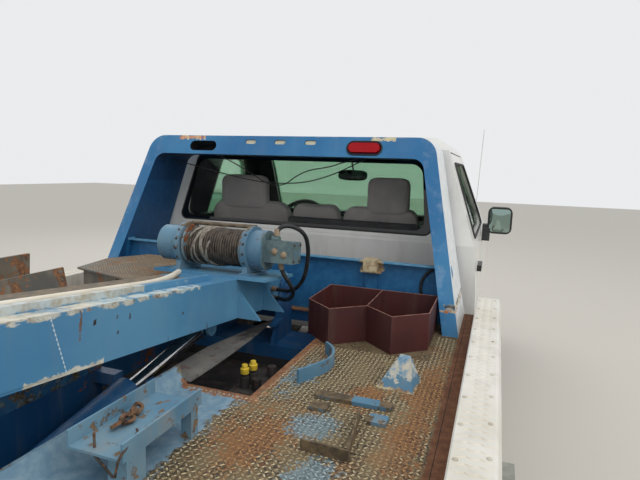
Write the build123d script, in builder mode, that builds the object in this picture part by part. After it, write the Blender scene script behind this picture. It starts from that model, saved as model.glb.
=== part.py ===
"""A light tow truck: regular cab chassis with twin rear wheels, a wrecker body
with a leaning pylon, and a box boom with a hydraulic winch.

Millimetres. X points forward, Y to the left side, Z up from the ground, with the
origin on the ground in the middle of the truck's box.
"""
from build123d import *
from math import atan2, cos, degrees, hypot, pi, radians, sin, tan
import os

os.makedirs("parts", exist_ok=True)

SIDES = (("left", 1), ("right", -1))

# Overall sizes and the stations along the truck
OVERALL_LENGTH = 5780
WHEELBASE = 3576
FRONT_OVERHANG = 965
PYLON_AHEAD_OF_AXLE = 1050
CAB_BACK_AHEAD_OF_PYLON = 500
BODY_LENGTH_BEHIND_PYLON = 1980
GAP = 6

NOSE_X = OVERALL_LENGTH / 2
TAIL_X = -OVERALL_LENGTH / 2
FRONT_AXLE = NOSE_X - FRONT_OVERHANG
REAR_AXLE = FRONT_AXLE - WHEELBASE
FOOT = REAR_AXLE + PYLON_AHEAD_OF_AXLE
CAB_BACK = FOOT + CAB_BACK_AHEAD_OF_PYLON
BODY_REAR = FOOT - BODY_LENGTH_BEHIND_PYLON
BODY_FRONT = FOOT + 400
DECK = 1000
DECK_PLATE = 6

# Wheels
TYRE_R = 403
TYRE_WIDTH = 235
RIM_HALF = 89
RIM_R = 203
DISC_OFFSET = 127
AXLE_TUBE_R = 48
STUB_R = 32
RUNNING = 0.5
FRONT_TRACK = 1736
DUAL_TRACK = 1830
DUAL_SPACING = 265
KINGPIN_Y = 790
AXLE_Z = TYRE_R

# Ladder frame
RAIL_Y = 432
RAIL_BOTTOM = 600
RAIL_TOP = 780
RAIL_FLANGE = 70
RAIL_WALL = 8
SILL_TOP = 940


def block(x0, x1, y0, y1, z0, z1, mode=Mode.ADD):
    """A straight box between two corners."""
    with Locations(((x0 + x1) / 2, (y0 + y1) / 2, (z0 + z1) / 2)):
        Box(x1 - x0, y1 - y0, z1 - z0, mode=mode)


def slab(points, plane, amount, mode=Mode.ADD, both=False, corner=0):
    """A flat outline on a plane, pulled out by an amount."""
    with BuildSketch(plane) as outline:
        Polygon(*points, align=None)
        if corner:
            fillet(outline.vertices(), corner)
    extrude(outline.sketch, amount=amount, both=both, mode=mode)


def rod(start, end, radius, mode=Mode.ADD):
    """A round bar from one point to another."""
    run = Vector(*end) - Vector(*start)
    with Locations(Plane(origin=start, z_dir=run)):
        Cylinder(radius, run.length, align=(Align.CENTER, Align.CENTER, Align.MIN), mode=mode)


def drum(x, y0, y1, z, radius, mode=Mode.ADD):
    """A round bar that lies across the truck."""
    rod((x, y0, z), (x, y1, z), radius, mode)


def ring(points, side, x, y, z, mode=Mode.ADD):
    """A profile of (outward, radius) points turned about a wheel's axle."""
    with BuildSketch(Plane.YZ.offset(x)) as profile:
        Polygon(*[(y + side * out, z + r) for out, r in points], align=None)
    revolve(profile.sketch, axis=Axis((x, 0, z), (0, 1, 0)), mode=mode)


def save(made, label):
    """Give a finished piece its name and write it."""
    made.part.label = label
    export_step(made.part, f"parts/{label}.step")


# Chassis frame: two channel rails and their crossmembers
FRAME_REAR = BODY_REAR + 30
FRAME_FRONT = NOSE_X - 110
CROSSMEMBER_HALF = 45
CROSSMEMBER_LOW = 718
CROSSMEMBERS = (FRAME_REAR + 60, REAR_AXLE - 330, REAR_AXLE + 420, CAB_BACK - 250,
                CAB_BACK + 620, FRAME_FRONT - 60)
TANK = dict(x0=REAR_AXLE - 820, x1=REAR_AXLE - 400, half=330, z0=530, z1=CROSSMEMBER_LOW - 10)

with BuildPart() as chassis_frame:
    for name, side in SIDES:
        web = RAIL_Y - RAIL_WALL
        lip = RAIL_Y - RAIL_FLANGE
        channel = [(RAIL_Y, RAIL_BOTTOM), (RAIL_Y, RAIL_TOP), (lip, RAIL_TOP),
                   (lip, RAIL_TOP - RAIL_WALL), (web, RAIL_TOP - RAIL_WALL),
                   (web, RAIL_BOTTOM + RAIL_WALL), (lip, RAIL_BOTTOM + RAIL_WALL),
                   (lip, RAIL_BOTTOM)]
        slab([(side * y, z) for y, z in channel], Plane.YZ.offset(FRAME_REAR),
             FRAME_FRONT - FRAME_REAR)
    for x in CROSSMEMBERS:
        block(x - CROSSMEMBER_HALF, x + CROSSMEMBER_HALF, -RAIL_Y + RAIL_WALL, RAIL_Y - RAIL_WALL,
              CROSSMEMBER_LOW, RAIL_TOP - RAIL_WALL)
save(chassis_frame, "chassis_frame")

# Fuel tank behind the axle, on two straps between the rails
with BuildPart() as fuel_tank:
    block(TANK["x0"], TANK["x1"], -TANK["half"], TANK["half"], TANK["z0"], TANK["z1"])
    fillet(fuel_tank.edges().filter_by(Axis.Y), 40)
    for x in (TANK["x0"] + 70, TANK["x1"] - 90):
        block(x - 20, x + 20, -RAIL_Y + RAIL_WALL, RAIL_Y - RAIL_WALL, TANK["z1"] - 30, TANK["z1"] + 5)
save(fuel_tank, "fuel_tank")

# Engine as one plain mass, with the gearbox, the propeller shaft and the exhaust
ENGINE = dict(x0=FRONT_AXLE - 465, x1=FRONT_AXLE + 255, half=285, z0=640, z1=1060)
GEARBOX_REAR = ENGINE["x0"] - 700
SHAFT_R = 45
SHAFT_TAIL = (REAR_AXLE + 215, 0, AXLE_Z + 40)
EXHAUST_Y = -250
EXHAUST_Z = 560
EXHAUST_R = 32

with BuildPart() as driveline:
    block(ENGINE["x0"], ENGINE["x1"], -ENGINE["half"], ENGINE["half"], ENGINE["z0"], ENGINE["z1"])
    slab([(ENGINE["x0"], 600), (ENGINE["x0"], 750), (GEARBOX_REAR + 350, 735), (GEARBOX_REAR, 700),
          (GEARBOX_REAR, 590), (GEARBOX_REAR + 350, 540)], Plane.XZ, 125, both=True)
    rod((GEARBOX_REAR + 40, 0, 645), SHAFT_TAIL, SHAFT_R)
    rod((ENGINE["x0"] + 300, EXHAUST_Y, ENGINE["z0"] + 60), (ENGINE["x0"] + 100, EXHAUST_Y, EXHAUST_Z), EXHAUST_R)
    rod((ENGINE["x0"] + 110, EXHAUST_Y, EXHAUST_Z), (CAB_BACK + 300, EXHAUST_Y, EXHAUST_Z), EXHAUST_R)
    rod((CAB_BACK + 320, EXHAUST_Y, EXHAUST_Z), (CAB_BACK - 330, EXHAUST_Y, EXHAUST_Z), 85)
    rod((CAB_BACK - 310, EXHAUST_Y, EXHAUST_Z), (REAR_AXLE + 560, EXHAUST_Y, EXHAUST_Z), EXHAUST_R)
save(driveline, "driveline")

# Front axle beam with its leaf springs
SPRING_Y = 395
SPRING_WIDTH = 64
FRONT_BEAM_HALF = 40
SPRING_THICK = 30
FRONT_SPRING_REACH = 560
REAR_SPRING_REACH = 660
BOSS_R = 34
BOSS_HALF = 48
KINGPIN_R = 14


def leaf_spring(x, y, eye_z, seat_z, reach):
    """A leaf pack as one arc of flat steel, with an eye and a hanger at both ends."""
    with BuildSketch(Plane.XZ.offset(-y)) as leaf:
        with BuildLine():
            low = ThreePointArc((x - reach, eye_z), (x, seat_z), (x + reach, eye_z))
            high = ThreePointArc((x - reach, eye_z + SPRING_THICK), (x, seat_z + SPRING_THICK + 25),
                                 (x + reach, eye_z + SPRING_THICK))
            Line(low @ 0, high @ 0)
            Line(low @ 1, high @ 1)
        make_face()
    extrude(leaf.sketch, amount=SPRING_WIDTH / 2, both=True)
    for end in (-1, 1):
        block(x + end * reach - 30, x + end * reach + 30, y - SPRING_WIDTH / 2, y + SPRING_WIDTH / 2,
              eye_z - 10, RAIL_BOTTOM)


with BuildPart() as front_axle:
    block(FRONT_AXLE - FRONT_BEAM_HALF, FRONT_AXLE + FRONT_BEAM_HALF, -KINGPIN_Y + 20, KINGPIN_Y - 20,
          AXLE_Z - FRONT_BEAM_HALF, AXLE_Z + FRONT_BEAM_HALF)
    for name, side in SIDES:
        with Locations((FRONT_AXLE, side * KINGPIN_Y, AXLE_Z)):
            Cylinder(BOSS_R, 2 * BOSS_HALF)
        leaf_spring(FRONT_AXLE, side * SPRING_Y, RAIL_BOTTOM - 75, AXLE_Z + FRONT_BEAM_HALF, FRONT_SPRING_REACH)
    for name, side in SIDES:
        with Locations((FRONT_AXLE, side * KINGPIN_Y, AXLE_Z)):
            Cylinder(KINGPIN_R + RUNNING, 3 * BOSS_HALF, mode=Mode.SUBTRACT)
save(front_axle, "front_axle")

# Rear axle: the tube, the round gear housing and the longer springs
with BuildPart() as rear_axle:
    drum(REAR_AXLE, -DUAL_TRACK / 2 + 25, DUAL_TRACK / 2 - 25, AXLE_Z, AXLE_TUBE_R)
    with Locations((REAR_AXLE, 0, AXLE_Z)):
        Sphere(165)
    rod((REAR_AXLE + 100, 0, AXLE_Z + 20), (REAR_AXLE + 205, 0, AXLE_Z + 38), 70)
    for name, side in SIDES:
        leaf_spring(REAR_AXLE, side * SPRING_Y, RAIL_BOTTOM - 60, AXLE_Z + 44, REAR_SPRING_REACH)
save(rear_axle, "rear_axle")

# Steering knuckles: two ears round the axle's boss, a pin, and the stub axle
EAR_GAP = 5
EAR = 28
HUB_R = 62
HUB_FACE = FRONT_TRACK / 2 + DISC_OFFSET

for name, side in SIDES:
    y = side * KINGPIN_Y
    with BuildPart() as knuckle:
        for end in (-1, 1):
            with Locations((FRONT_AXLE, y, AXLE_Z + end * (BOSS_HALF + EAR_GAP + EAR / 2))):
                Cylinder(BOSS_R + 4, EAR)
        near, far = sorted((y + side * (BOSS_R + 8), y + side * (BOSS_R + 30)))
        block(FRONT_AXLE - BOSS_R, FRONT_AXLE + BOSS_R, near, far, AXLE_Z - BOSS_HALF - EAR_GAP - EAR,
              AXLE_Z + BOSS_HALF + EAR_GAP + EAR)
        for end in (-1, 1):
            ear = AXLE_Z + end * (BOSS_HALF + EAR_GAP + EAR / 2)
            near, far = sorted((y, y + side * (BOSS_R + 20)))
            block(FRONT_AXLE - BOSS_R, FRONT_AXLE + BOSS_R, near, far, ear - EAR / 2, ear + EAR / 2)
        with Locations((FRONT_AXLE, y, AXLE_Z)):
            Cylinder(KINGPIN_R, 2 * (BOSS_HALF + EAR_GAP + EAR))
        drum(FRONT_AXLE, y + side * (BOSS_R + 20), side * (HUB_FACE + 4), AXLE_Z, STUB_R)
    save(knuckle, f"knuckle_{name}")

# Tyres: one turned solid each, with a flat tread and rounded shoulders
TYRE_HALF = TYRE_WIDTH / 2
BEAD_HALF = RIM_HALF - 9
TYRE_PROFILE = [(-BEAD_HALF, RIM_R + 5), (-TYRE_HALF + 12, RIM_R + 60), (-TYRE_HALF, RIM_R + 105),
                (-TYRE_HALF + 22, TYRE_R - 10), (-TYRE_HALF + 36, TYRE_R)]
TYRE_PROFILE = TYRE_PROFILE + [(-out, r) for out, r in TYRE_PROFILE[::-1]]
HAND_HOLES = 4
HAND_HOLE_R = 19
HAND_HOLE_AT = 146
HAND_RING = DISC_OFFSET - 42
RIM_PROFILE = [(-RIM_HALF, RIM_R + 21), (-RIM_HALF + 8, RIM_R + 2), (-36, RIM_R - 26), (36, RIM_R - 26),
               (RIM_HALF - 8, RIM_R + 2), (RIM_HALF, RIM_R + 21), (RIM_HALF, RIM_R - 6), (46, RIM_R - 34),
               (HAND_RING, HAND_HOLE_AT + 23), (HAND_RING, HAND_HOLE_AT - 23), (DISC_OFFSET, 112),
               (DISC_OFFSET, HUB_R - 6), (DISC_OFFSET - 12, HUB_R - 6), (DISC_OFFSET - 12, 106),
               (HAND_RING - 12, HAND_HOLE_AT - 30), (HAND_RING - 12, HAND_HOLE_AT + 18), (0, RIM_R - 34),
               (-44, RIM_R - 34), (-RIM_HALF, RIM_R - 6)]
STUDS = 8
STUD_CIRCLE = 165.1
NUT_R = 11


def wheel_rim(x, y, side):
    """A steel rim with its dished disc towards side, hand holes and stud nuts."""
    ring(RIM_PROFILE, side, x, y, AXLE_Z)
    for turn in range(HAND_HOLES):
        angle = 2 * pi * (turn + 0.5) / HAND_HOLES
        at = (x + HAND_HOLE_AT * cos(angle), AXLE_Z + HAND_HOLE_AT * sin(angle))
        rod((at[0], y + side * (HAND_RING - 30), at[1]), (at[0], y + side * DISC_OFFSET, at[1]),
            HAND_HOLE_R, Mode.SUBTRACT)


def stud_nuts(x, y, reach):
    """The six-sided nuts of a left wheel on their circle."""
    for turn in range(STUDS):
        angle = 2 * pi * (turn + 0.5) / STUDS
        at = (x + STUD_CIRCLE / 2 * cos(angle), AXLE_Z + STUD_CIRCLE / 2 * sin(angle))
        with BuildSketch(Plane.XZ.offset(2 - y)) as nut:
            with Locations(at):
                RegularPolygon(NUT_R, 6)
        extrude(nut.sketch, amount=-2 - reach)


# Each wheel is made on the left side and turned over for the right
for name, side in SIDES:
    y = FRONT_TRACK / 2
    with BuildPart() as tyre_front:
        ring(TYRE_PROFILE, 1, FRONT_AXLE, side * y, AXLE_Z)
    save(tyre_front, f"tyre_front_{name}")
    with BuildPart() as rim_front:
        wheel_rim(FRONT_AXLE, y, 1)
        bore = STUB_R + RUNNING
        ring([(DISC_OFFSET - 70, bore), (DISC_OFFSET + 26, bore), (DISC_OFFSET + 26, HUB_R - 10),
              (DISC_OFFSET + 12, HUB_R + 2), (DISC_OFFSET - 70, HUB_R + 2)], 1, FRONT_AXLE, y, AXLE_Z)
        ring([(DISC_OFFSET + 10, 0), (DISC_OFFSET + 40, 0), (DISC_OFFSET + 36, 34), (DISC_OFFSET + 10, 40)],
             1, FRONT_AXLE, y, AXLE_Z)
        stud_nuts(FRONT_AXLE, y + DISC_OFFSET, 22)
        if side < 0:
            mirror(about=Plane.XZ, mode=Mode.REPLACE)
    save(rim_front, f"rim_front_{name}")
    with BuildPart() as tyres_rear:
        for out in (-1, 1):
            ring(TYRE_PROFILE, 1, REAR_AXLE, side * (DUAL_TRACK + out * DUAL_SPACING) / 2, AXLE_Z)
    save(tyres_rear, f"tyres_rear_{name}")
    with BuildPart() as rims_rear:
        for out in (-1, 1):
            wheel_rim(REAR_AXLE, (DUAL_TRACK + out * DUAL_SPACING) / 2, -out)
        middle = DUAL_TRACK / 2
        bore = AXLE_TUBE_R + RUNNING
        ring([(-60, bore), (-60, bore + 8), (60, bore + 8), (90, bore), (90, 0), (75, 0), (75, bore)], 1,
             REAR_AXLE, middle, AXLE_Z)
        ring([(-7, bore), (7, bore), (7, HUB_R + 4), (-7, HUB_R + 4)], 1, REAR_AXLE, middle, AXLE_Z)
        stud_nuts(REAR_AXLE, middle, 40)
        if side < 0:
            mirror(about=Plane.XZ, mode=Mode.REPLACE)
    save(rims_rear, f"rims_rear_{name}")

# Cab: an outer form and an inner form, both from a side profile and a section across,
# so that every panel is as thick as the gap between them
CAB_HALF = 1015
CAB_WALL = 48
BELT_Z = 1325
ROOF_Z = 1900
ROOF_EDGE_Z = 1868
SHOULDER_Z = 1800
CAB_BOTTOM = 500
FLOOR_Z = 790
FLOOR_SHEET = 8
SILL_INNER = 870
DOOR_STEP = 905
DOOR_REAR = CAB_BACK + 120
DOOR_FRONT = CAB_BACK + 1290
FIREWALL = CAB_BACK + 1520
COWL_X = CAB_BACK + 1560
SCREEN_BASE = (CAB_BACK + 1490, 1330)
SCREEN_TOP = (CAB_BACK + 1010, ROOF_EDGE_Z)
ROOF_REAR = (CAB_BACK + 215, 1882)
BACK_TOP = (CAB_BACK + 120, 1815)


def cab_form(inset, bottom):
    """The cab's solid form down to a bottom, smaller all round by inset."""
    with BuildPart(mode=Mode.PRIVATE) as form:
        with BuildSketch(Plane.XZ) as side_view:
            with BuildLine():
                Polyline((COWL_X - inset, SCREEN_BASE[1] - 60), (COWL_X - inset, SCREEN_BASE[1] - 35),
                         (SCREEN_BASE[0] - inset * 0.6, SCREEN_BASE[1] - inset * 0.6),
                         (SCREEN_TOP[0] - inset * 0.6, SCREEN_TOP[1] - inset * 0.6))
                ThreePointArc((SCREEN_TOP[0] - inset * 0.6, SCREEN_TOP[1] - inset * 0.6),
                              (CAB_BACK + 620, ROOF_Z - inset * 0.8),
                              (ROOF_REAR[0] + inset * 0.4, ROOF_REAR[1] - inset * 0.8))
                Polyline((ROOF_REAR[0] + inset * 0.4, ROOF_REAR[1] - inset * 0.8),
                         (BACK_TOP[0] + inset, BACK_TOP[1] - inset * 0.6), (CAB_BACK + inset, BELT_Z),
                         (CAB_BACK + inset, bottom + 60), (CAB_BACK + 60 + inset, bottom),
                         (DOOR_FRONT - inset, bottom), (FIREWALL - inset, FLOOR_Z + 110),
                         (COWL_X - inset, SCREEN_BASE[1] - 60))
            make_face()
        extrude(side_view.sketch, amount=CAB_HALF + 20, both=True)
        with BuildSketch(Plane.YZ.offset(CAB_BACK - 50)) as across:
            with BuildLine():
                half = CAB_HALF - inset
                Line((-half + 26, bottom), (half - 26, bottom))
                ThreePointArc((half - 26, bottom), (half, 980), (half - 28, BELT_Z))
                Line((half - 28, BELT_Z), (half - 190, SHOULDER_Z))
                ThreePointArc((half - 190, SHOULDER_Z), (half - 245, ROOF_EDGE_Z - inset * 0.7),
                              (half - 340, ROOF_Z - 6 - inset))
                ThreePointArc((half - 340, ROOF_Z - 6 - inset), (0, ROOF_Z + 12 - inset),
                              (-half + 340, ROOF_Z - 6 - inset))
                ThreePointArc((-half + 340, ROOF_Z - 6 - inset), (-half + 245, ROOF_EDGE_Z - inset * 0.7),
                              (-half + 190, SHOULDER_Z))
                Line((-half + 190, SHOULDER_Z), (-half + 28, BELT_Z))
                ThreePointArc((-half + 28, BELT_Z), (-half, 980), (-half + 26, bottom))
            make_face()
        extrude(across.sketch, amount=COWL_X - CAB_BACK + 200, mode=Mode.INTERSECT)
    return form.part


DOOR_OUTLINE = [(DOOR_REAR, 575), (DOOR_REAR, BELT_Z), (DOOR_REAR + 75, SHOULDER_Z), (CAB_BACK + 925, SHOULDER_Z),
                (CAB_BACK + 1250, BELT_Z + 95), (DOOR_FRONT, BELT_Z + 20), (DOOR_FRONT, 575)]
SWING_ROOM = 10
DOOR_HOLE = DOOR_OUTLINE[:2] + [(DOOR_REAR + 75 - SWING_ROOM, SHOULDER_Z)] + DOOR_OUTLINE[3:]
DOOR_WINDOW = [(DOOR_REAR + 72, BELT_Z + 18), (DOOR_REAR + 128, 1752), (CAB_BACK + 905, 1752),
               (CAB_BACK + 1195, BELT_Z + 92), (CAB_BACK + 1195, BELT_Z + 18)]
REAR_WINDOW = dict(half=735, low=1367, high=1775, corner=70)
SCREEN_HALF = 730
FRONT_BOX_Y = 790
PILLAR_Y = 955


outer_cab = cab_form(0, CAB_BOTTOM)
inner_cab = cab_form(CAB_WALL, FLOOR_Z)
door_space = cab_form(CAB_WALL, CAB_BOTTOM - 20)

with BuildPart() as cab_shell:
    add(outer_cab)
    add(inner_cab, mode=Mode.SUBTRACT)
    for name, side in SIDES:
        near, far = sorted((side * (FRONT_BOX_Y), side * (CAB_HALF + 100)))
        block(DOOR_FRONT + GAP, COWL_X + 60, near, far, 400, BELT_Z - 8, mode=Mode.SUBTRACT)
    block(CAB_BACK - 10, FIREWALL + 10, -SILL_INNER, SILL_INNER, CAB_BOTTOM - 10, FLOOR_Z - FLOOR_SHEET,
          mode=Mode.SUBTRACT)
    for name, side in SIDES:
        for low, inner in ((CAB_BOTTOM, DOOR_STEP), (BELT_Z - 60, 700)):
            near, far = sorted((side * inner, side * (CAB_HALF + 60)))
            with BuildPart(mode=Mode.PRIVATE) as door_hole:
                with BuildSketch(Plane.XZ.offset(-far)):
                    Polygon(*DOOR_HOLE, align=None)
                    offset(amount=GAP + 2, kind=Kind.INTERSECTION)
                extrude(amount=far - near)
                split(bisect_by=Plane.XY.offset(low), keep=Keep.TOP)
            add(door_hole.part, mode=Mode.SUBTRACT)
    for name, side in SIDES:
        near, far = sorted((side * (FRONT_BOX_Y - 24), side * FRONT_BOX_Y))
        block(DOOR_FRONT + GAP + 6, FIREWALL - 30, near, far, FLOOR_Z - FLOOR_SHEET, BELT_Z - 8)
        near, far = sorted((side * (FRONT_BOX_Y - 24), side * PILLAR_Y))
        block(DOOR_FRONT + GAP + 6, DOOR_FRONT + 60, near, far, CAB_BOTTOM + 50, BELT_Z - 110)
    with BuildSketch(Plane.YZ.offset(CAB_BACK - 40)) as back_glass:
        with Locations((0, (REAR_WINDOW["low"] + REAR_WINDOW["high"]) / 2)):
            RectangleRounded(2 * REAR_WINDOW["half"], REAR_WINDOW["high"] - REAR_WINDOW["low"],
                             REAR_WINDOW["corner"])
    extrude(back_glass.sketch, amount=320, mode=Mode.SUBTRACT)
    screen_run = Vector(SCREEN_TOP[0] - SCREEN_BASE[0], 0, SCREEN_TOP[1] - SCREEN_BASE[1])
    screen_plane = Plane(origin=(SCREEN_BASE[0], 0, SCREEN_BASE[1]), x_dir=(0, 1, 0),
                         z_dir=screen_run.cross(Vector(0, 1, 0)) * -1)
    reach = screen_run.length
    with BuildSketch(screen_plane) as screen_hole:
        Polygon((-SCREEN_HALF, 45), (SCREEN_HALF, 45), (SCREEN_HALF - 85, reach - 45),
                (-SCREEN_HALF + 85, reach - 45), align=None)
        fillet(screen_hole.vertices(), 50)
    extrude(screen_hole.sketch, amount=90, both=True, mode=Mode.SUBTRACT)
save(cab_shell, "cab_shell")

# Fixed glass: the windscreen and the rear window, each in the thickness of its wall
GLASS = 6
with BuildPart() as cab_glass:
    with BuildSketch(screen_plane.offset(-14)) as screen:
        Polygon((-SCREEN_HALF + 1, 46), (SCREEN_HALF - 1, 46), (SCREEN_HALF - 86, reach - 46),
                (-SCREEN_HALF + 86, reach - 46), align=None)
        fillet(screen.vertices(), 50)
    extrude(screen.sketch, amount=-GLASS)
    with BuildSketch(Plane.YZ.offset(CAB_BACK - 40)) as back_pane:
        with Locations((0, (REAR_WINDOW["low"] + REAR_WINDOW["high"]) / 2)):
            RectangleRounded(2 * REAR_WINDOW["half"] - 2, REAR_WINDOW["high"] - REAR_WINDOW["low"] - 2,
                             REAR_WINDOW["corner"])
    extrude(back_pane.sketch, amount=320)
    lean = (BACK_TOP[0] - CAB_BACK) / (BACK_TOP[1] - BELT_Z)
    low_x = CAB_BACK + lean * (1340 - BELT_Z) + 18
    high_x = CAB_BACK + lean * (SHOULDER_Z - BELT_Z) + 18
    screen_box = [(SCREEN_TOP[0] - 400, 1200), (COWL_X + 50, 1200), (COWL_X + 50, 1950), (SCREEN_TOP[0] - 400, 1950)]
    with BuildSketch(Plane.XZ) as keep:
        Polygon((low_x, 1340), (low_x + GLASS, 1340), (high_x + GLASS, SHOULDER_Z), (high_x, SHOULDER_Z), align=None)
        Polygon(*screen_box, align=None)
    extrude(keep.sketch, amount=SCREEN_HALF + 100, both=True, mode=Mode.INTERSECT)
save(cab_glass, "cab_glass")

# Doors, with the outside mirror on an arm and the pull handle
MIRROR_X = FOOT + 1500
MIRROR_IN = 1030
MIRROR_OUT = 1187
MIRROR_LOW = 1295
MIRROR_HIGH = 1475
HANDLE_X = DOOR_REAR + 110
HANDLE_Z = 1190

for name, side in SIDES:
    with BuildPart() as door:
        add(outer_cab)
        add(door_space, mode=Mode.SUBTRACT)
        near, far = sorted((side * 500, side * (CAB_HALF + 60)))
        with BuildSketch(Plane.XZ.offset(-far)) as door_cut:
            Polygon(*DOOR_OUTLINE, align=None)
        extrude(door_cut.sketch, amount=far - near, mode=Mode.INTERSECT)
        with BuildSketch(Plane.XZ.offset(-far)) as window_cut:
            Polygon(*DOOR_WINDOW, align=None)
            fillet(window_cut.vertices(), 30)
        extrude(window_cut.sketch, amount=far - near, mode=Mode.SUBTRACT)
        block(HANDLE_X - 75, HANDLE_X + 75, *sorted((side * (CAB_HALF - 30), side * (CAB_HALF + 14))),
              HANDLE_Z - 16, HANDLE_Z + 16)
        near, far = sorted((side * (CAB_HALF - 20), side * (MIRROR_IN + 20)))
        slab([(MIRROR_X - 60, BELT_Z - 80), (MIRROR_X + 80, BELT_Z - 80), (MIRROR_X + 40, BELT_Z + 30),
              (MIRROR_X - 36, BELT_Z + 30)], Plane.XZ.offset(-far), far - near)
        near, far = sorted((side * MIRROR_IN, side * MIRROR_OUT))
        with BuildSketch(Plane.YZ.offset(MIRROR_X - 40)) as head:
            with Locations(((near + far) / 2, (MIRROR_LOW + MIRROR_HIGH) / 2)):
                RectangleRounded(far - near, MIRROR_HIGH - MIRROR_LOW, 40)
        extrude(head.sketch, amount=85)
    save(door, f"door_{name}")
    with BuildPart() as door_glass:
        with BuildSketch(Plane.XZ.offset(-side * (CAB_HALF + 60) if side > 0 else 500)) as pane:
            Polygon(*DOOR_WINDOW, align=None)
            fillet(pane.vertices(), 30)
            offset(amount=-0.5)
        extrude(pane.sketch, amount=CAB_HALF + 60 - 500)
        slope = (190 - 28) / (SHOULDER_Z - BELT_Z)
        base = CAB_HALF - 28 - 22
        band = [(base, BELT_Z), (base - slope * 475, BELT_Z + 475), (base - slope * 475 - GLASS, BELT_Z + 475),
                (base - GLASS, BELT_Z)]
        slab([(side * a, b) for a, b in band], Plane.YZ.offset(CAB_BACK), 1500, mode=Mode.INTERSECT)
    save(door_glass, f"door_glass_{name}")

# Front clip: fenders, side shoulders and the panel that carries the grille and the lamps
CLIP_REAR = DOOR_FRONT + GAP
CLIP_FRONT = NOSE_X - 40
ARCH_R = 495
CLIP_SECTIONS = [
    # x, half width, bottom, shoulder height, crown height
    (CLIP_REAR, 1015, 520, 1285, 1308),
    (FRONT_AXLE, 1032, 520, 1205, 1248),
    (CLIP_FRONT - 220, 1010, 704, 1140, 1175),
    (CLIP_FRONT, 930, 704, 1085, 1105),
]


def clip_form(inset):
    """The nose of the truck as one lofted form, smaller by inset."""
    with BuildPart(mode=Mode.PRIVATE) as form:
        for x, half, bottom, shoulder, crown in CLIP_SECTIONS:
            at = x if x < CLIP_FRONT else x - inset
            with BuildSketch(Plane.YZ.offset(at)):
                wide = half - inset
                Polygon((-wide + 20, bottom - inset), (wide - 20, bottom - inset), (wide, 860),
                        (wide - 22, shoulder - 60), (wide - 75, shoulder - inset), (300, crown - inset),
                        (-300, crown - inset), (-wide + 75, shoulder - inset), (-wide + 22, shoulder - 60),
                        (-wide, 860), align=None)
        loft(ruled=True)
    return form.part


HOOD_HALF = 800
HOOD_REAR = COWL_X + 10
HOOD_FRONT = CLIP_FRONT - 60
CLIP_WALL = 26
CORE_X = CLIP_FRONT - 90
ANTENNA_TOP = ROOF_Z + 170
outer_clip = clip_form(0)
inner_clip = clip_form(CLIP_WALL)
HOOD_OUTLINE = [(HOOD_REAR, -HOOD_HALF), (HOOD_FRONT, -HOOD_HALF + 60), (HOOD_FRONT, HOOD_HALF - 60),
                (HOOD_REAR, HOOD_HALF)]

with BuildPart() as front_clip:
    add(outer_clip)
    add(inner_clip, mode=Mode.SUBTRACT)
    block(CLIP_FRONT - 60, CLIP_FRONT - 25, -880, 880, 705, 1060)
    drum(FRONT_AXLE, -1200, 1200, AXLE_Z, ARCH_R, mode=Mode.SUBTRACT)
    with BuildSketch(Plane.XY.offset(900)) as hood_hole:
        Polygon((CLIP_REAR - 50, -FRONT_BOX_Y - GAP), (HOOD_REAR - GAP, -FRONT_BOX_Y - GAP),
                (HOOD_REAR - GAP, -HOOD_HALF - GAP), (HOOD_FRONT + GAP, -HOOD_HALF + 60 - GAP),
                (HOOD_FRONT + GAP, HOOD_HALF - 60 + GAP), (HOOD_REAR - GAP, HOOD_HALF + GAP),
                (HOOD_REAR - GAP, FRONT_BOX_Y + GAP), (CLIP_REAR - 50, FRONT_BOX_Y + GAP), align=None)
    extrude(hood_hole.sketch, amount=500, mode=Mode.SUBTRACT)
    block(CLIP_FRONT - 120, NOSE_X, -470, 470, 770, 1055, mode=Mode.SUBTRACT)
    for side in (-1, 1):
        near, far = sorted((side * 492, side * 850))
        block(CLIP_FRONT - 45, NOSE_X, near, far, 850, 1050, mode=Mode.SUBTRACT)
    for side in (-1, 1):
        near, far = sorted((side * 700, side * 940))
        block(CORE_X, CORE_X + 30, near, far, 705, 1000)
    rod((FRONT_AXLE - 80, -900, 1150), (FRONT_AXLE - 110, -932, ANTENNA_TOP), 3)
    rod((FRONT_AXLE - 80, -900, 1150), (FRONT_AXLE - 81, -901, 1225), 12)
save(front_clip, "front_clip")

with BuildPart() as hood:
    add(outer_clip)
    add(inner_clip, mode=Mode.SUBTRACT)
    with BuildSketch(Plane.XY.offset(900)) as hood_cut:
        Polygon(*HOOD_OUTLINE, align=None)
    extrude(hood_cut.sketch, amount=500, mode=Mode.INTERSECT)
    split(bisect_by=Plane.XY.offset(1050), keep=Keep.TOP)
save(hood, "hood")

# Grille: a frame with upright and level bars in the nose opening
GRILLE_HALF = 462
GRILLE_LOW = 778
GRILLE_HIGH = 1047
GRILLE_BARS = 5
with BuildPart() as grille:
    block(CLIP_FRONT - 60, CLIP_FRONT - 4, -GRILLE_HALF, GRILLE_HALF, GRILLE_LOW, GRILLE_HIGH)
    block(CLIP_FRONT - 70, CLIP_FRONT + 10, -GRILLE_HALF + 26, GRILLE_HALF - 26, GRILLE_LOW + 24,
          GRILLE_HIGH - 24, mode=Mode.SUBTRACT)
    for bar in range(GRILLE_BARS):
        z = GRILLE_LOW + (GRILLE_HIGH - GRILLE_LOW) * (bar + 1) / (GRILLE_BARS + 1)
        block(CLIP_FRONT - 40, CLIP_FRONT - 10, -GRILLE_HALF + 20, GRILLE_HALF - 20, z - 8, z + 8)
    for y in (-230, 0, 230):
        block(CLIP_FRONT - 46, CLIP_FRONT - 20, y - 8, y + 8, GRILLE_LOW + 10, GRILLE_HIGH - 10)
save(grille, "grille")

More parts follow.
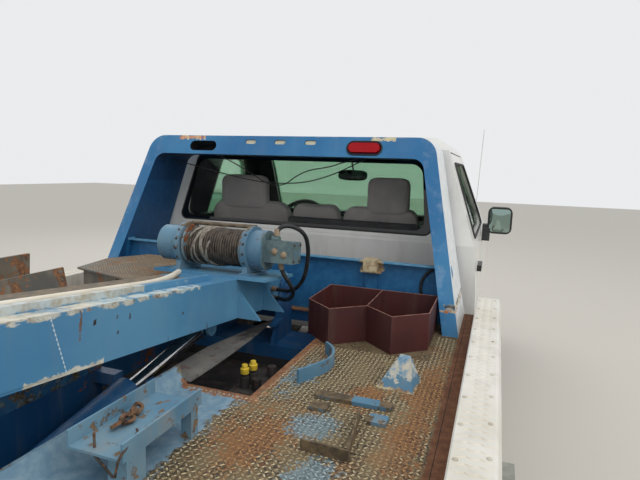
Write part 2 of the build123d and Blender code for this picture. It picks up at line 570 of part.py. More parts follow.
with BuildPart() as headlamps:
    for side in (-1, 1):
        near, far = sorted((side * 498, side * 844))
        block(CLIP_FRONT - 44, CLIP_FRONT - 14, near, far, 856, 1044)
    fillet(headlamps.edges().filter_by(Axis.X), 14)
save(headlamps, "headlamps")

# Front bumper: a bent sheet with wrapped ends on two frame horns
BUMPER_HALF = 995
BUMPER_LOW = 450
BUMPER_HIGH = 690
BUMPER_SHEET = 8
with BuildPart() as front_bumper:
    with BuildSketch(Plane.XY.offset(BUMPER_LOW)) as bumper_plan:
        with BuildLine():
            ThreePointArc((NOSE_X - 60, -BUMPER_HALF + 90), (NOSE_X, 0), (NOSE_X - 60, BUMPER_HALF - 90))
            Polyline((NOSE_X - 60, BUMPER_HALF - 90), (NOSE_X - 150, BUMPER_HALF), (NOSE_X - 220, BUMPER_HALF),
                     (NOSE_X - 220, BUMPER_HALF - BUMPER_SHEET), (NOSE_X - 154, BUMPER_HALF - BUMPER_SHEET),
                     (NOSE_X - 69, BUMPER_HALF - 97))
            ThreePointArc((NOSE_X - 69, BUMPER_HALF - 97), (NOSE_X - BUMPER_SHEET, 0),
                          (NOSE_X - 69, -BUMPER_HALF + 97))
            Polyline((NOSE_X - 69, -BUMPER_HALF + 97), (NOSE_X - 154, -BUMPER_HALF + BUMPER_SHEET),
                     (NOSE_X - 220, -BUMPER_HALF + BUMPER_SHEET), (NOSE_X - 220, -BUMPER_HALF),
                     (NOSE_X - 150, -BUMPER_HALF), (NOSE_X - 60, -BUMPER_HALF + 90))
        make_face()
    extrude(bumper_plan.sketch, amount=BUMPER_HIGH - BUMPER_LOW)
    for name, side in SIDES:
        near, far = sorted((side * (RAIL_Y - 60), side * RAIL_Y))
        block(FRAME_FRONT, NOSE_X - 12, near, far, RAIL_BOTTOM, RAIL_BOTTOM + 70)
save(front_bumper, "front_bumper")

# Split bench with its backs and head rests
SEAT_BACK_X = CAB_BACK + 190
SEATS = [(-650, -60, True), (-50, 110, False), (120, 690, True)]
with BuildPart() as seat:
    for y0, y1, rest in SEATS:
        slab([(SEAT_BACK_X + 120, 1010), (SEAT_BACK_X + 620, 1050), (SEAT_BACK_X + 640, 960),
              (SEAT_BACK_X + 600, 880), (SEAT_BACK_X + 120, 880)], Plane.XZ.offset(-y1), y1 - y0, corner=20)
        slab([(SEAT_BACK_X + 95, 900), (SEAT_BACK_X + 205, 940), (SEAT_BACK_X + 115, 1490),
              (SEAT_BACK_X, 1490)], Plane.XZ.offset(-y1), y1 - y0, corner=25)
        if rest:
            middle = (y0 + y1) / 2
            slab([(SEAT_BACK_X - 5, 1480), (SEAT_BACK_X + 100, 1480), (SEAT_BACK_X + 85, 1680),
                  (SEAT_BACK_X, 1680)], Plane.XZ.offset(-middle - 130), 260, corner=25)
    block(SEAT_BACK_X + 130, SEAT_BACK_X + 560, -640, 680, FLOOR_Z + 1, 885)
save(seat, "seat")

# Dashboard with the column and the steering wheel on the left
WHEEL_HUB = (CAB_BACK + 1040, 370, 1275)
WHEEL_R = 190
with BuildPart() as dashboard:
    slab([(FIREWALL - 60, 900), (CAB_BACK + 1230, 980), (CAB_BACK + 1200, 1220), (CAB_BACK + 1260, 1285),
          (FIREWALL - 60, 1270)], Plane.XZ, FRONT_BOX_Y - 60, both=True, corner=15)
    rod((CAB_BACK + 1260, 370, 1130), WHEEL_HUB, 30)
    column = Plane(origin=WHEEL_HUB, z_dir=(WHEEL_HUB[0] - CAB_BACK - 1260, 0, WHEEL_HUB[2] - 1130))
    with Locations(column):
        Cylinder(50, 36)
    with Locations(column):
        for turn in (0, 120, 240):
            with Locations(Location((0, 0, 0), (0, 0, turn + 90))):
                Box(WHEEL_R, 34, 12, align=(Align.MIN, Align.CENTER, Align.CENTER))
    with BuildSketch(Plane(origin=WHEEL_HUB, x_dir=column.x_dir, z_dir=-column.y_dir)) as grip:
        with Locations((WHEEL_R, 0)):
            RegularPolygon(16, 8)
    revolve(grip.sketch, axis=Axis(WHEEL_HUB, column.z_dir))
save(dashboard, "dashboard")

# Deck: tread plate with the opening round the boom's foot and the long boom slot,
# whose raised edge guides the boom
BOOM_HALF = 140
SLOT_HALF = BOOM_HALF + 12
DECK_HALF = 969
HOLE_REAR = FOOT - 840
HOLE_FRONT = FOOT + 110
HOLE_HALF = 418
CURB_TOP = 54
RAIL_CAP_IN = 1024
RAIL_CAP_TOP = 93

with BuildPart() as deck:
    block(BODY_REAR, BODY_FRONT, -RAIL_CAP_IN, RAIL_CAP_IN, DECK - DECK_PLATE, DECK)
    block(HOLE_REAR, HOLE_FRONT, -HOLE_HALF, HOLE_HALF, DECK - 50, DECK + 50, mode=Mode.SUBTRACT)
    for side in (-1, 1):
        curb = [(SLOT_HALF, CURB_TOP), (SLOT_HALF + 12, CURB_TOP), (SLOT_HALF + 40, 0),
                (SLOT_HALF + 40, -DECK_PLATE), (SLOT_HALF, -DECK_PLATE)]
        slab([(side * y, DECK + z) for y, z in curb], Plane.YZ.offset(BODY_REAR), HOLE_REAR - BODY_REAR)
    block(BODY_REAR - 10, HOLE_REAR + 10, -SLOT_HALF, SLOT_HALF, DECK - 50, DECK + 100, mode=Mode.SUBTRACT)
save(deck, "deck")

# Body frame: sills on the rails and the bearers under the deck
SILL_IN = 372
BEARER = 54
BEARERS = (BODY_REAR + 40, BODY_REAR + 520, HOLE_REAR - 60, HOLE_REAR + 420, HOLE_FRONT + 40, BODY_FRONT - 50)
WELL_FLOOR = 800
WELL_WALL = 8
BOOM_TILT = 6.1
PIVOT = (FOOT + 30, DECK + 124)
PIN_R = 25
LIFT_BASE = (FOOT - 1360, DECK - 135)
LUG_GAP = 30
LIFT_PIN_R = 20

with BuildPart() as body_frame:
    for side in (-1, 1):
        near, far = sorted((side * SILL_IN, side * RAIL_Y))
        block(BODY_REAR, BODY_FRONT, near, far, RAIL_TOP, SILL_TOP)
        for x in BEARERS:
            inner = SLOT_HALF + WELL_WALL if x < HOLE_REAR else HOLE_HALF + 6
            if x > HOLE_FRONT:
                inner = 0
            near, far = sorted((side * inner, side * 960))
            block(x - 30, x + 30, near, far, SILL_TOP, DECK - DECK_PLATE)
save(body_frame, "body_frame")

# Well: a long steel trough under the boom's slot, with the lift cylinder's bracket and pin
with BuildPart() as boom_well:
    for side in (-1, 1):
        near, far = sorted((side * SLOT_HALF, side * (SLOT_HALF + WELL_WALL)))
        block(BODY_REAR, HOLE_REAR, near, far, WELL_FLOOR - WELL_WALL, DECK - DECK_PLATE)
        near, far = sorted((side * LUG_GAP, side * (LUG_GAP + 14)))
        slab([(LIFT_BASE[0] - 170, WELL_FLOOR - 2), (LIFT_BASE[0] + 90, WELL_FLOOR - 2),
              (LIFT_BASE[0] + 30, LIFT_BASE[1] + 30), (LIFT_BASE[0] - 30, LIFT_BASE[1] + 30)],
             Plane.XZ.offset(-far), far - near)
        near, far = sorted((side * 62, side * SLOT_HALF))
        block(HOLE_REAR - 40, HOLE_REAR, near, far, DECK - 40, DECK)
    block(BODY_REAR, HOLE_REAR, -SLOT_HALF - WELL_WALL, SLOT_HALF + WELL_WALL, WELL_FLOOR - WELL_WALL, WELL_FLOOR)
    block(HOLE_REAR - 50, HOLE_REAR, -SILL_IN, SILL_IN, WELL_FLOOR - WELL_WALL, WELL_FLOOR + 60)
    drum(LIFT_BASE[0], -LUG_GAP - 20, LUG_GAP + 20, LIFT_BASE[1], LIFT_PIN_R)
save(boom_well, "boom_well")

# Boom mount: a heavy bar between the sills with two cheeks and the pivot pin
with BuildPart() as boom_mount:
    for side in (-1, 1):
        near, far = sorted((side * (BOOM_HALF + GAP), side * (BOOM_HALF + GAP + 16)))
        with BuildSketch(Plane.XZ.offset(-far)) as cheek:
            Polygon((PIVOT[0] - 150, SILL_TOP - 60), (PIVOT[0] + 75, SILL_TOP - 60), (PIVOT[0] + 50, PIVOT[1]),
                    (PIVOT[0] - 50, PIVOT[1]), align=None)
            with Locations(PIVOT):
                Circle(50)
        extrude(cheek.sketch, amount=far - near)
        near, far = sorted((side * (BOOM_HALF + GAP), side * (BOOM_HALF + GAP + 40)))
        block(PIVOT[0] - 190, PIVOT[0] - 90, near, far, DECK - 14, DECK)
    block(PIVOT[0] - 150, PIVOT[0] + 75, -SILL_IN, SILL_IN, SILL_TOP - 120, SILL_TOP - 55)
    drum(PIVOT[0], -BOOM_HALF - GAP - 24, BOOM_HALF + GAP + 24, PIVOT[1], PIN_R)
save(boom_mount, "boom_mount")

# Side boxes under the deck edges, with the raised cap rail, the wheel flare and a door
BOX_SIDE = 1136
BOX_IN = 600
BOX_BOTTOM = 560
FLARE_OUT = 1183
FLARE_TOP = 900
FLARE_HALF = 314
ARCH_FOOT = 520
FLARE_SHEET = 34
BOX_WALL = 20
FRONT_BOX_REAR = REAR_AXLE + ARCH_FOOT
REAR_BOX_FRONT = REAR_AXLE - ARCH_FOOT
HINGE_R = 7
HINGE_PIN_R = 3
BOX_DOOR = dict(x0=FRONT_BOX_REAR + 60, x1=BODY_FRONT - 60, z0=620, z1=930)

BOX_HINGE_X = BOX_DOOR["x1"] - GAP / 2
BOX_HINGE_Y = BOX_SIDE + HINGE_R + 1

for name, side in SIDES:
    with BuildPart() as side_box:
        section = [(DECK_HALF, DECK - 30), (RAIL_CAP_IN + 1, DECK - 30), (RAIL_CAP_IN + 1, DECK + RAIL_CAP_TOP - 3),
                   (RAIL_CAP_IN + 5, DECK + RAIL_CAP_TOP), (1119, DECK + RAIL_CAP_TOP), (1127, DECK + RAIL_CAP_TOP - 5),
                   (BOX_SIDE, DECK + 68), (BOX_SIDE, DECK - 100), (DECK_HALF, DECK - 100)]
        slab([(side * y, z) for y, z in section], Plane.YZ.offset(BODY_REAR), BODY_FRONT - BODY_REAR)
        near, far = sorted((side * BOX_IN, side * BOX_SIDE))
        block(FRONT_BOX_REAR, BODY_FRONT, near, far, BOX_BOTTOM, SILL_TOP)
        block(BODY_REAR, REAR_BOX_FRONT, near, far, BOX_BOTTOM, SILL_TOP)
        near, far = sorted((side * (BOX_IN + BOX_WALL), side * (BOX_SIDE - BOX_WALL)))
        block(FRONT_BOX_REAR + BOX_WALL, BODY_FRONT - BOX_WALL, near, far, BOX_BOTTOM + BOX_WALL,
              SILL_TOP - BOX_WALL, mode=Mode.SUBTRACT)
        near, far = sorted((side * (BOX_SIDE - 40), side * (BOX_SIDE + 10)))
        block(BOX_DOOR["x0"], BOX_DOOR["x1"], near, far, BOX_DOOR["z0"], BOX_DOOR["z1"], mode=Mode.SUBTRACT)
        near, far = sorted((side * (BOX_SIDE - 60), side * FLARE_OUT))
        high = FLARE_TOP
        with BuildSketch(Plane.XZ.offset(-far)) as arch:
            Polygon((REAR_AXLE - ARCH_FOOT - FLARE_SHEET, BOX_BOTTOM), (REAR_AXLE - FLARE_HALF, high),
                    (REAR_AXLE + FLARE_HALF, high), (REAR_AXLE + ARCH_FOOT + FLARE_SHEET, BOX_BOTTOM), align=None)
            Polygon((REAR_AXLE - ARCH_FOOT, BOX_BOTTOM - 1), (REAR_AXLE - FLARE_HALF + 12, high - FLARE_SHEET),
                    (REAR_AXLE + FLARE_HALF - 12, high - FLARE_SHEET), (REAR_AXLE + ARCH_FOOT, BOX_BOTTOM - 1),
                    align=None, mode=Mode.SUBTRACT)
        extrude(arch.sketch, amount=far - near)
        for z in (BOX_DOOR["z0"] + 60, BOX_DOOR["z1"] - 60):
            with Locations((BOX_HINGE_X, side * BOX_HINGE_Y, z)):
                Cylinder(HINGE_PIN_R, 110)
            for end in (-1, 1):
                with Locations((BOX_HINGE_X, side * BOX_HINGE_Y, z + end * 43)):
                    Cylinder(HINGE_R, 24)
                near, far = sorted((side * (BOX_SIDE - 8), side * BOX_HINGE_Y))
                block(BOX_HINGE_X, BOX_HINGE_X + 24, near, far, z + end * 43 - 12, z + end * 43 + 12)
        for end in (-1, 1):
            plan = [(REAR_AXLE + end * (FLARE_HALF + 10), side * (FLARE_OUT + 1)),
                    (REAR_AXLE + end * (ARCH_FOOT + 60), side * (FLARE_OUT + 1)),
                    (REAR_AXLE + end * (ARCH_FOOT + 60), side * (BOX_SIDE + 1))]
            slab(plan, Plane.XY.offset(BOX_BOTTOM - 20), 400, mode=Mode.SUBTRACT)
    save(side_box, f"side_box_{name}")
    with BuildPart() as box_door:
        near, far = sorted((side * (BOX_SIDE - 19), side * BOX_SIDE))
        block(BOX_DOOR["x0"] + GAP, BOX_DOOR["x1"] - GAP, near, far, BOX_DOOR["z0"] + GAP, BOX_DOOR["z1"] - GAP)
        middle = (BOX_DOOR["z0"] + BOX_DOOR["z1"]) / 2
        near, far = sorted((side * (BOX_SIDE - 5), side * (BOX_SIDE + 8)))
        block(BOX_DOOR["x0"] + 60, BOX_DOOR["x0"] + 180, near, far, middle - 35, middle + 35)
        for z in (BOX_DOOR["z0"] + 60, BOX_DOOR["z1"] - 60):
            with Locations((BOX_HINGE_X, side * BOX_HINGE_Y, z)):
                Cylinder(HINGE_R, 60)
            near, far = sorted((side * (BOX_SIDE - 8), side * BOX_HINGE_Y))
            block(BOX_HINGE_X - 24, BOX_HINGE_X, near, far, z - 30, z + 30)
            with Locations((BOX_HINGE_X, side * BOX_HINGE_Y, z)):
                Cylinder(HINGE_PIN_R + 0.4, 80, mode=Mode.SUBTRACT)
    save(box_door, f"box_door_{name}")

with BuildPart() as mud_flaps:
    for side in (-1, 1):
        near, far = sorted((side * 770, side * (BOX_SIDE - 66)))
        block(REAR_BOX_FRONT + 1, REAR_BOX_FRONT + 9, near, far, 240, 860)
save(mud_flaps, "mud_flaps")

# Pylon: a deep arch of closed box section that leans forward, with the low bulkhead
LEAN = 0.3265
FRONT_LEAN = 0.2
PYLON_HIGH = 855
PYLON_DEEP = 410
LEG_WIDE = 67
FOOT_HALF = 970
SPLAY = 0.2167
BAND = 100
BULKHEAD_X = FOOT + 158
BULKHEAD_HIGH = 272
LAMP_WIDE = 165
LAMP_HIGH = 56
LAMP_Y = 453
LAMP_UP = 800
LAMP_POCKET = 30
SLOT_UP = 824
SLOT_PITCH = 168.5


def half_width(up, inset=0):
    """Half the pylon's width at a height over the deck."""
    return FOOT_HALF - SPLAY * up - inset


rear_face = Plane(origin=(FOOT, 0, DECK), x_dir=(0, -1, 0), z_dir=(-1, 0, LEAN))
FACE_SCALE = hypot(1, LEAN)

with BuildPart() as pylon:
    with BuildSketch(Plane.YZ.offset(FOOT - 10)) as whole:
        Polygon((-half_width(0), DECK), (half_width(0), DECK), (half_width(PYLON_HIGH), DECK + PYLON_HIGH),
                (-half_width(PYLON_HIGH), DECK + PYLON_HIGH), align=None)
        fillet(whole.vertices().group_by(Axis.Y)[-1], 95)
    extrude(whole.sketch, amount=900)
    with BuildSketch(Plane.YZ.offset(FOOT - 20)) as opening:
        top = PYLON_HIGH - BAND
        Polygon((-half_width(-20, LEG_WIDE), DECK - 20), (half_width(-20, LEG_WIDE), DECK - 20),
                (half_width(top, LEG_WIDE), DECK + top), (-half_width(top, LEG_WIDE), DECK + top), align=None)
        fillet(opening.vertices().group_by(Axis.Y)[-1], 60)
    extrude(opening.sketch, amount=920, mode=Mode.SUBTRACT)
    slab([(FOOT, DECK), (FOOT + PYLON_DEEP, DECK), (FOOT + PYLON_DEEP + FRONT_LEAN * 900, DECK + 900),
          (FOOT + LEAN * 900, DECK + 900)], Plane.XZ, 1100, both=True, mode=Mode.INTERSECT)
    for y, up, wide, high, deep in ((LAMP_Y, LAMP_UP, LAMP_WIDE, LAMP_HIGH, 90),
                                    (-LAMP_Y, LAMP_UP, LAMP_WIDE, LAMP_HIGH, LAMP_POCKET),
                                    (SLOT_PITCH, SLOT_UP, 62, 24, 60), (0, SLOT_UP, 62, 24, 60),
                                    (-SLOT_PITCH, SLOT_UP, 62, 24, 60)):
        with BuildSketch(rear_face) as lamp_hole:
            with Locations((-y, up * FACE_SCALE)):
                SlotOverall(wide, high)
        extrude(lamp_hole.sketch, amount=-deep, mode=Mode.SUBTRACT)
    inner = half_width(0, LEG_WIDE)
    low = half_width(BULKHEAD_HIGH, LEG_WIDE)
    slab([(-inner - 5, DECK), (inner + 5, DECK), (low + 5, DECK + BULKHEAD_HIGH), (-low - 5, DECK + BULKHEAD_HIGH)],
         Plane.YZ.offset(BULKHEAD_X), 6)
    block(BULKHEAD_X - 34, BULKHEAD_X + 6, -low, low, DECK + BULKHEAD_HIGH - 6, DECK + BULKHEAD_HIGH)
    block(BULKHEAD_X - 55, BULKHEAD_X, -578, -514, DECK + 225, DECK + 285)
    block(BULKHEAD_X - 45, BULKHEAD_X, -595, -500, DECK + 218, DECK + 226)
    block(BULKHEAD_X - 12, BULKHEAD_X, -575, -515, DECK + 80, DECK + 220)
save(pylon, "pylon")

# Red lamps: the one left in the pylon, and the tail lamps in the tailboard
TAIL_LAMPS = (820, 980)
TAILBOARD = dict(x0=BODY_REAR - 40, half=1110, z0=640)
with BuildPart() as red_lamps:
    with BuildSketch(rear_face.offset(-LAMP_POCKET)) as lens:
        with Locations((LAMP_Y, LAMP_UP * FACE_SCALE)):
            SlotOverall(LAMP_WIDE - 8, LAMP_HIGH - 8)
    extrude(lens.sketch, amount=LAMP_POCKET + 12)
    for side in (-1, 1):
        for y in TAIL_LAMPS:
            with BuildSketch(Plane(origin=(TAILBOARD["x0"], side * y, 800), x_dir=(0, -1, 0),
                                   z_dir=(-1, 0, 0))) as tail_lens:
                Circle(55)
            extrude(tail_lens.sketch, amount=16)
save(red_lamps, "red_lamps")

TOW_EYE_Y = 520
TOW_EYE_Z = 720
TOW_EYE_R = 20
with BuildPart() as tailboard:
    block(TAILBOARD["x0"], BODY_REAR - 0.5, -TAILBOARD["half"], TAILBOARD["half"], TAILBOARD["z0"], DECK)
    block(TAILBOARD["x0"] - 5, BODY_REAR + 5, -SLOT_HALF - 20, SLOT_HALF + 20, WELL_FLOOR - 20, DECK + 5,
          mode=Mode.SUBTRACT)
    fillet(tailboard.edges().filter_by(Axis.X).group_by(Axis.Y)[0], 30)
    fillet(tailboard.edges().filter_by(Axis.X).group_by(Axis.Y)[-1], 30)
    for side in (-1, 1):
        near, far = sorted((side * (TOW_EYE_Y - 10), side * (TOW_EYE_Y + 10)))
        block(TAILBOARD["x0"] - 50, TAILBOARD["x0"], near, far, TOW_EYE_Z - 45, TOW_EYE_Z + 45)
        drum(TAILBOARD["x0"] - 50, near, far, TOW_EYE_Z, 45)
        drum(TAILBOARD["x0"] - 50, near - 1, far + 1, TOW_EYE_Z, TOW_EYE_R, mode=Mode.SUBTRACT)
save(tailboard, "tailboard")

# Two open bins of bent sheet side by side, each pointed towards the rear
BIN_WIDE = 254
BIN_SHEET = 3
BIN_HIGH = 150
BIN_BACK = FOOT + 92
BIN_SHOULDER = FOOT - 205
BIN_POINT = FOOT - 318
BIN_MIDDLES = (-490, -490 - BIN_WIDE + BIN_SHEET)
with BuildPart() as bins:
    for middle in BIN_MIDDLES:
        half = BIN_WIDE / 2
        house = [(BIN_BACK, middle - half), (BIN_BACK, middle + half), (BIN_SHOULDER, middle + half),
                 (BIN_POINT, middle), (BIN_SHOULDER, middle - half)]
        slab(house, Plane.XY.offset(DECK), BIN_HIGH)
    for middle in BIN_MIDDLES:
        half = BIN_WIDE / 2 - BIN_SHEET
        house = [(BIN_BACK - BIN_SHEET, middle - half), (BIN_BACK - BIN_SHEET, middle + half),
                 (BIN_SHOULDER + 1, middle + half), (BIN_POINT + 1.5 * BIN_SHEET, middle),
                 (BIN_SHOULDER + 1, middle - half)]
        slab(house, Plane.XY.offset(DECK + BIN_SHEET), BIN_HIGH, mode=Mode.SUBTRACT)
save(bins, "bins")

# Left tray: a low box under a loose tread plate lid
TRAY_LID = [(-466, 305), (-90, 305), (110, 450), (110, 700), (-90, 800), (-340, 752)]
TRAY_HIGH = 200
with BuildPart() as left_tray:
    slab([(FOOT + x, y) for x, y in TRAY_LID], Plane.XY.offset(DECK + TRAY_HIGH - 8), 8)
    slab([(FOOT - 430, 450), (FOOT + 90, 450), (FOOT + 90, 690), (FOOT - 95, 775), (FOOT - 325, 730)],
         Plane.XY.offset(DECK), TRAY_HIGH - 8)
save(left_tray, "left_tray")

# Trough of bent plate that lies on the left of the deck beside the boom
TROUGH_SECTION = [(250, 0), (256, 0), (424, 290), (452, 165), (556, 165), (598, 328), (604, 328), (650, 0),
                  (656, 0), (610, 335), (596, 335), (551, 171), (457, 171), (428, 300), (420, 300)]
with BuildPart() as trough:
    slab([(y, DECK + z) for y, z in TROUGH_SECTION], Plane.YZ.offset(FOOT - 1560), 880)
    slab([(FOOT - 760, DECK + 200), (FOOT - 680, DECK), (FOOT - 600, DECK), (FOOT - 600, DECK + 400),
          (FOOT - 700, DECK + 400)], Plane.XZ, 900, both=True, mode=Mode.SUBTRACT)
save(trough, "trough")

# Small steel pieces on the deck: a curved hook, a gusset, flat bars, an angle and the chain holder
with BuildPart() as deck_fittings:
    with BuildSketch(Plane.XY.offset(DECK)) as hook:
        with BuildLine():
            Polyline((FOOT - 700, -520), (FOOT - 610, -560))
            ThreePointArc((FOOT - 610, -560), (FOOT - 480, -572), (FOOT - 400, -515))
            Line((FOOT - 400, -515), (FOOT - 408, -510))
            ThreePointArc((FOOT - 408, -510), (FOOT - 480, -562), (FOOT - 608, -551))
            Polyline((FOOT - 608, -551), (FOOT - 697, -511), (FOOT - 700, -520))
        make_face()
    extrude(hook.sketch, amount=46)
    with BuildSketch(Plane.XY.offset(DECK)) as gusset_foot:
        Polygon((FOOT - 632, -880), (FOOT - 620, -758), (FOOT - 500, -775), (FOOT - 520, -890), align=None)
    with BuildSketch(Plane.XY.offset(DECK + 86)) as gusset_top:
        Polygon((FOOT - 560, -850), (FOOT - 550, -815), (FOOT - 520, -815), (FOOT - 525, -850), align=None)
    loft([gusset_foot.sketch, gusset_top.sketch], ruled=True)
    block(FOOT - 775, FOOT - 735, -838, -605, DECK, DECK + 12)
    block(FOOT - 850, FOOT - 808, -665, -610, DECK, DECK + 10)
    block(FOOT - 868, FOOT - 818, -842, -790, DECK, DECK + 10)
    slab([(FOOT - 1064, -794), (FOOT - 841, -765), (FOOT - 842, -760), (FOOT - 1058, -788), (FOOT - 1052, -668),
          (FOOT - 1058, -668)], Plane.XY.offset(DECK), 30)
    block(FOOT - 1360, FOOT - 1300, -400, -350, DECK, DECK + 85)
    slab([(FOOT - 1370, DECK + 80), (FOOT - 1080, DECK + 80), (FOOT - 1080, DECK + 86), (FOOT - 1370, DECK + 86)],
         Plane.XZ.offset(400), -150)
    for y in (-400, -256):
        block(FOOT - 1370, FOOT - 1080, y, y + 6, DECK + 80, DECK + 122)
    block(FOOT - 1120, FOOT - 1090, -395, -365, DECK, DECK + 84)
save(deck_fittings, "deck_fittings")

# A short rusty chain that hangs over the holder and lies on the deck
LINK_PITCH = 26
LINK_LONG = 42
LINK_WIDE = 26
LINK_BAR = 4
CHAIN_START = (FOOT - 1270, -300)
CHAIN_STEPS = [
    # step in x, step in y, height over the deck
    (0, 0, 99), (24, -6, 100), (25, 8, 101), (25, 6, 99),
]
with BuildPart() as chain:
    x, y = CHAIN_START
    for number, (dx, dy, up) in enumerate(CHAIN_STEPS):
        x = x + dx
        y = y + dy
        turn = degrees(atan2(dy, dx)) if dx else 0
        flat = 35 if number % 2 else -35
        with Locations(Location((x, y, DECK + up), (flat, 0, turn))):
            with BuildSketch(mode=Mode.PRIVATE) as centre:
                SlotOverall(LINK_LONG, LINK_WIDE)
                SlotOverall(LINK_LONG - 4 * LINK_BAR, LINK_WIDE - 4 * LINK_BAR, mode=Mode.SUBTRACT)
            add(extrude(centre.sketch, amount=LINK_BAR, both=True, mode=Mode.PRIVATE))
save(chain, "chain")

# Valve block with its capped ports, on the splash pan below the deck opening
VALVE_LOW = DECK - 205
PAN_TOP = RAIL_TOP + 5
with BuildPart() as valve_block:
    block(FOOT - 640, FOOT - 380, -330, -210, VALVE_LOW, VALVE_LOW + 85)
    for x, y in ((-560, -250), (-515, -262), (-560, -300), (-470, -240), (-430, -300)):
        rod((FOOT + x, y, VALVE_LOW + 80), (FOOT + x, y, VALVE_LOW + 128), 17)
    for x in (-600, -500, -420):
        rod((FOOT + x, -300, VALVE_LOW + 40), (FOOT + x, -355, VALVE_LOW + 40), 14)
    block(FOOT - 660, FOOT - 360, -SILL_IN, -200, PAN_TOP, VALVE_LOW)
    block(HOLE_REAR, PIVOT[0] - 150, -SILL_IN, SILL_IN, RAIL_TOP + 1, PAN_TOP)
save(valve_block, "valve_block")

# Loose worn plate over the gap between the boom and the deck opening
with BuildPart() as gap_plate:
    with BuildSketch(Plane.XY.offset(DECK)) as leaf:
        with BuildLine():
            Polyline((HOLE_REAR - 28, -78), (HOLE_REAR - 28, -SLOT_HALF + 4), (HOLE_REAR + 4, -SLOT_HALF + 4),
                     (HOLE_REAR + 12, -196))
            ThreePointArc((HOLE_REAR + 12, -196), (FOOT - 480, -192), (FOOT - 128, -162))
            Polyline((FOOT - 128, -162), (FOOT - 128, -150), (FOOT - 540, -78), (HOLE_REAR - 28, -78))
        make_face()
    extrude(leaf.sketch, amount=5)
save(gap_plate, "gap_plate")

# Boom: a welded box with a round nose on the pivot pin, open at the rear for the inner boom
boom_side = Plane(origin=(PIVOT[0], 0, PIVOT[1]), x_dir=(-cos(radians(BOOM_TILT)), 0, sin(radians(BOOM_TILT))),
                  z_dir=(0, 1, 0))
BOOM_DEEP = 157
HEAD_R = 92
HEAD_V = 14
HEAD_REACH = 241
HEAD_U = (PIVOT[0] - TAIL_X - HEAD_R + HEAD_V * sin(radians(BOOM_TILT))) / cos(radians(BOOM_TILT))
BOOM_LONG = HEAD_U - HEAD_REACH
BOOM_WALL = 12
CAVITY_FRONT = 620
DOUBLER_LOW = 1293
DOUBLER_HIGH = 1346
LUG_U = 470
LUG_V = -128
WINCH_U = 353
WINCH_V = 195
WINCH_PLATE = 12


def along_boom(u, y, v):
    """A point from its place along the boom, across it and square to it."""
    return tuple(boom_side.from_local_coords(Vector(u, v, y)))


def boom_block(u0, u1, y0, y1, v0, v1, mode=Mode.ADD):
    """A box whose sides follow the boom."""
    with BuildSketch(boom_side.offset(y0)) as outline:
        Polygon((u0, v0), (u1, v0), (u1, v1), (u0, v1), align=None)
    extrude(outline.sketch, amount=y1 - y0, mode=mode)


def boom_round(u, y0, y1, v, radius, mode=Mode.ADD):
    """A round bar across the boom."""
    rod(along_boom(u, y0, v), along_boom(u, y1, v), radius, mode)


half_deep = BOOM_DEEP / 2
with BuildPart() as boom:
    boom_block(0, BOOM_LONG, -BOOM_HALF, BOOM_HALF, -half_deep, half_deep)
    boom_round(0, -BOOM_HALF, BOOM_HALF, 0, half_deep)
    boom_block(CAVITY_FRONT, BOOM_LONG + 10, -BOOM_HALF + BOOM_WALL, BOOM_HALF - BOOM_WALL,
               -half_deep + BOOM_WALL, half_deep - BOOM_WALL, mode=Mode.SUBTRACT)
    boom_block(180, 470, -262, 250, half_deep, half_deep + WINCH_PLATE)
    for side in (-1, 1):
        for u in (200, 430):
            with BuildSketch(Plane(origin=along_boom(u, 0, 0), x_dir=(0, side, 0),
                                   z_dir=boom_side.x_dir)) as gusset:
                rise = side
                Polygon((BOOM_HALF - 2, rise * half_deep), (240, rise * half_deep), (BOOM_HALF - 2, rise * -30),
                        align=None)
            extrude(gusset.sketch, amount=12)
        near, far = sorted((side * BOOM_HALF, side * (BOOM_HALF + 4)))
        with BuildSketch(boom_side.offset(near)) as doubler:
            Polygon((DOUBLER_LOW, -70), (DOUBLER_HIGH, 70), (BOOM_LONG, 70), (BOOM_LONG, -70), align=None)
        extrude(doubler.sketch, amount=far - near)
        near, far = sorted((side * (LUG_GAP + 2), side * (LUG_GAP + 16)))
        with BuildSketch(boom_side.offset(near)) as lug:
            Polygon((LUG_U - 60, -half_deep), (LUG_U + 60, -half_deep), (LUG_U + 26, LUG_V), (LUG_U - 26, LUG_V),
                    align=None)
            with Locations((LUG_U, LUG_V)):
                Circle(30)
        extrude(lug.sketch, amount=far - near)
    boom_round(0, -BOOM_HALF - 5, BOOM_HALF + 5, 0, PIN_R + 1, mode=Mode.SUBTRACT)
    boom_round(LUG_U, -LUG_GAP - 20, LUG_GAP + 20, LUG_V, LIFT_PIN_R - 4)
    boom_block(560, BOOM_LONG - 20, -84, -60, half_deep, half_deep + 20)
save(boom, "boom")

# Inner boom with the rope sheave in its head
INNER_START = 760
with BuildPart() as inner_boom:
    boom_block(INNER_START, HEAD_U - 60, -BOOM_HALF + BOOM_WALL + 6, BOOM_HALF - BOOM_WALL - 6,
               -half_deep + BOOM_WALL + 6, half_deep - BOOM_WALL - 6)
    for y0, y1 in ((-62, -46), (46, 62)):
        with BuildSketch(boom_side.offset(y0)) as cheek:
            with Locations((HEAD_U, HEAD_V)):
                Circle(HEAD_R)
            Polygon((HEAD_U - 120, -half_deep + 18), (HEAD_U, HEAD_V - HEAD_R), (HEAD_U, HEAD_V + HEAD_R),
                    (HEAD_U - 120, half_deep - 18), align=None)
        extrude(cheek.sketch, amount=y1 - y0)
    boom_round(HEAD_U, -70, 70, HEAD_V, 20)
    boom_round(HEAD_U, -40, -32, HEAD_V, 80)
    boom_round(HEAD_U, 32, 40, HEAD_V, 80)
    boom_round(HEAD_U, -46, 46, HEAD_V, 66)
    boom_block(BOOM_LONG + 30, BOOM_LONG + 60, -BOOM_HALF, BOOM_HALF, -half_deep, half_deep)
save(inner_boom, "inner_boom")

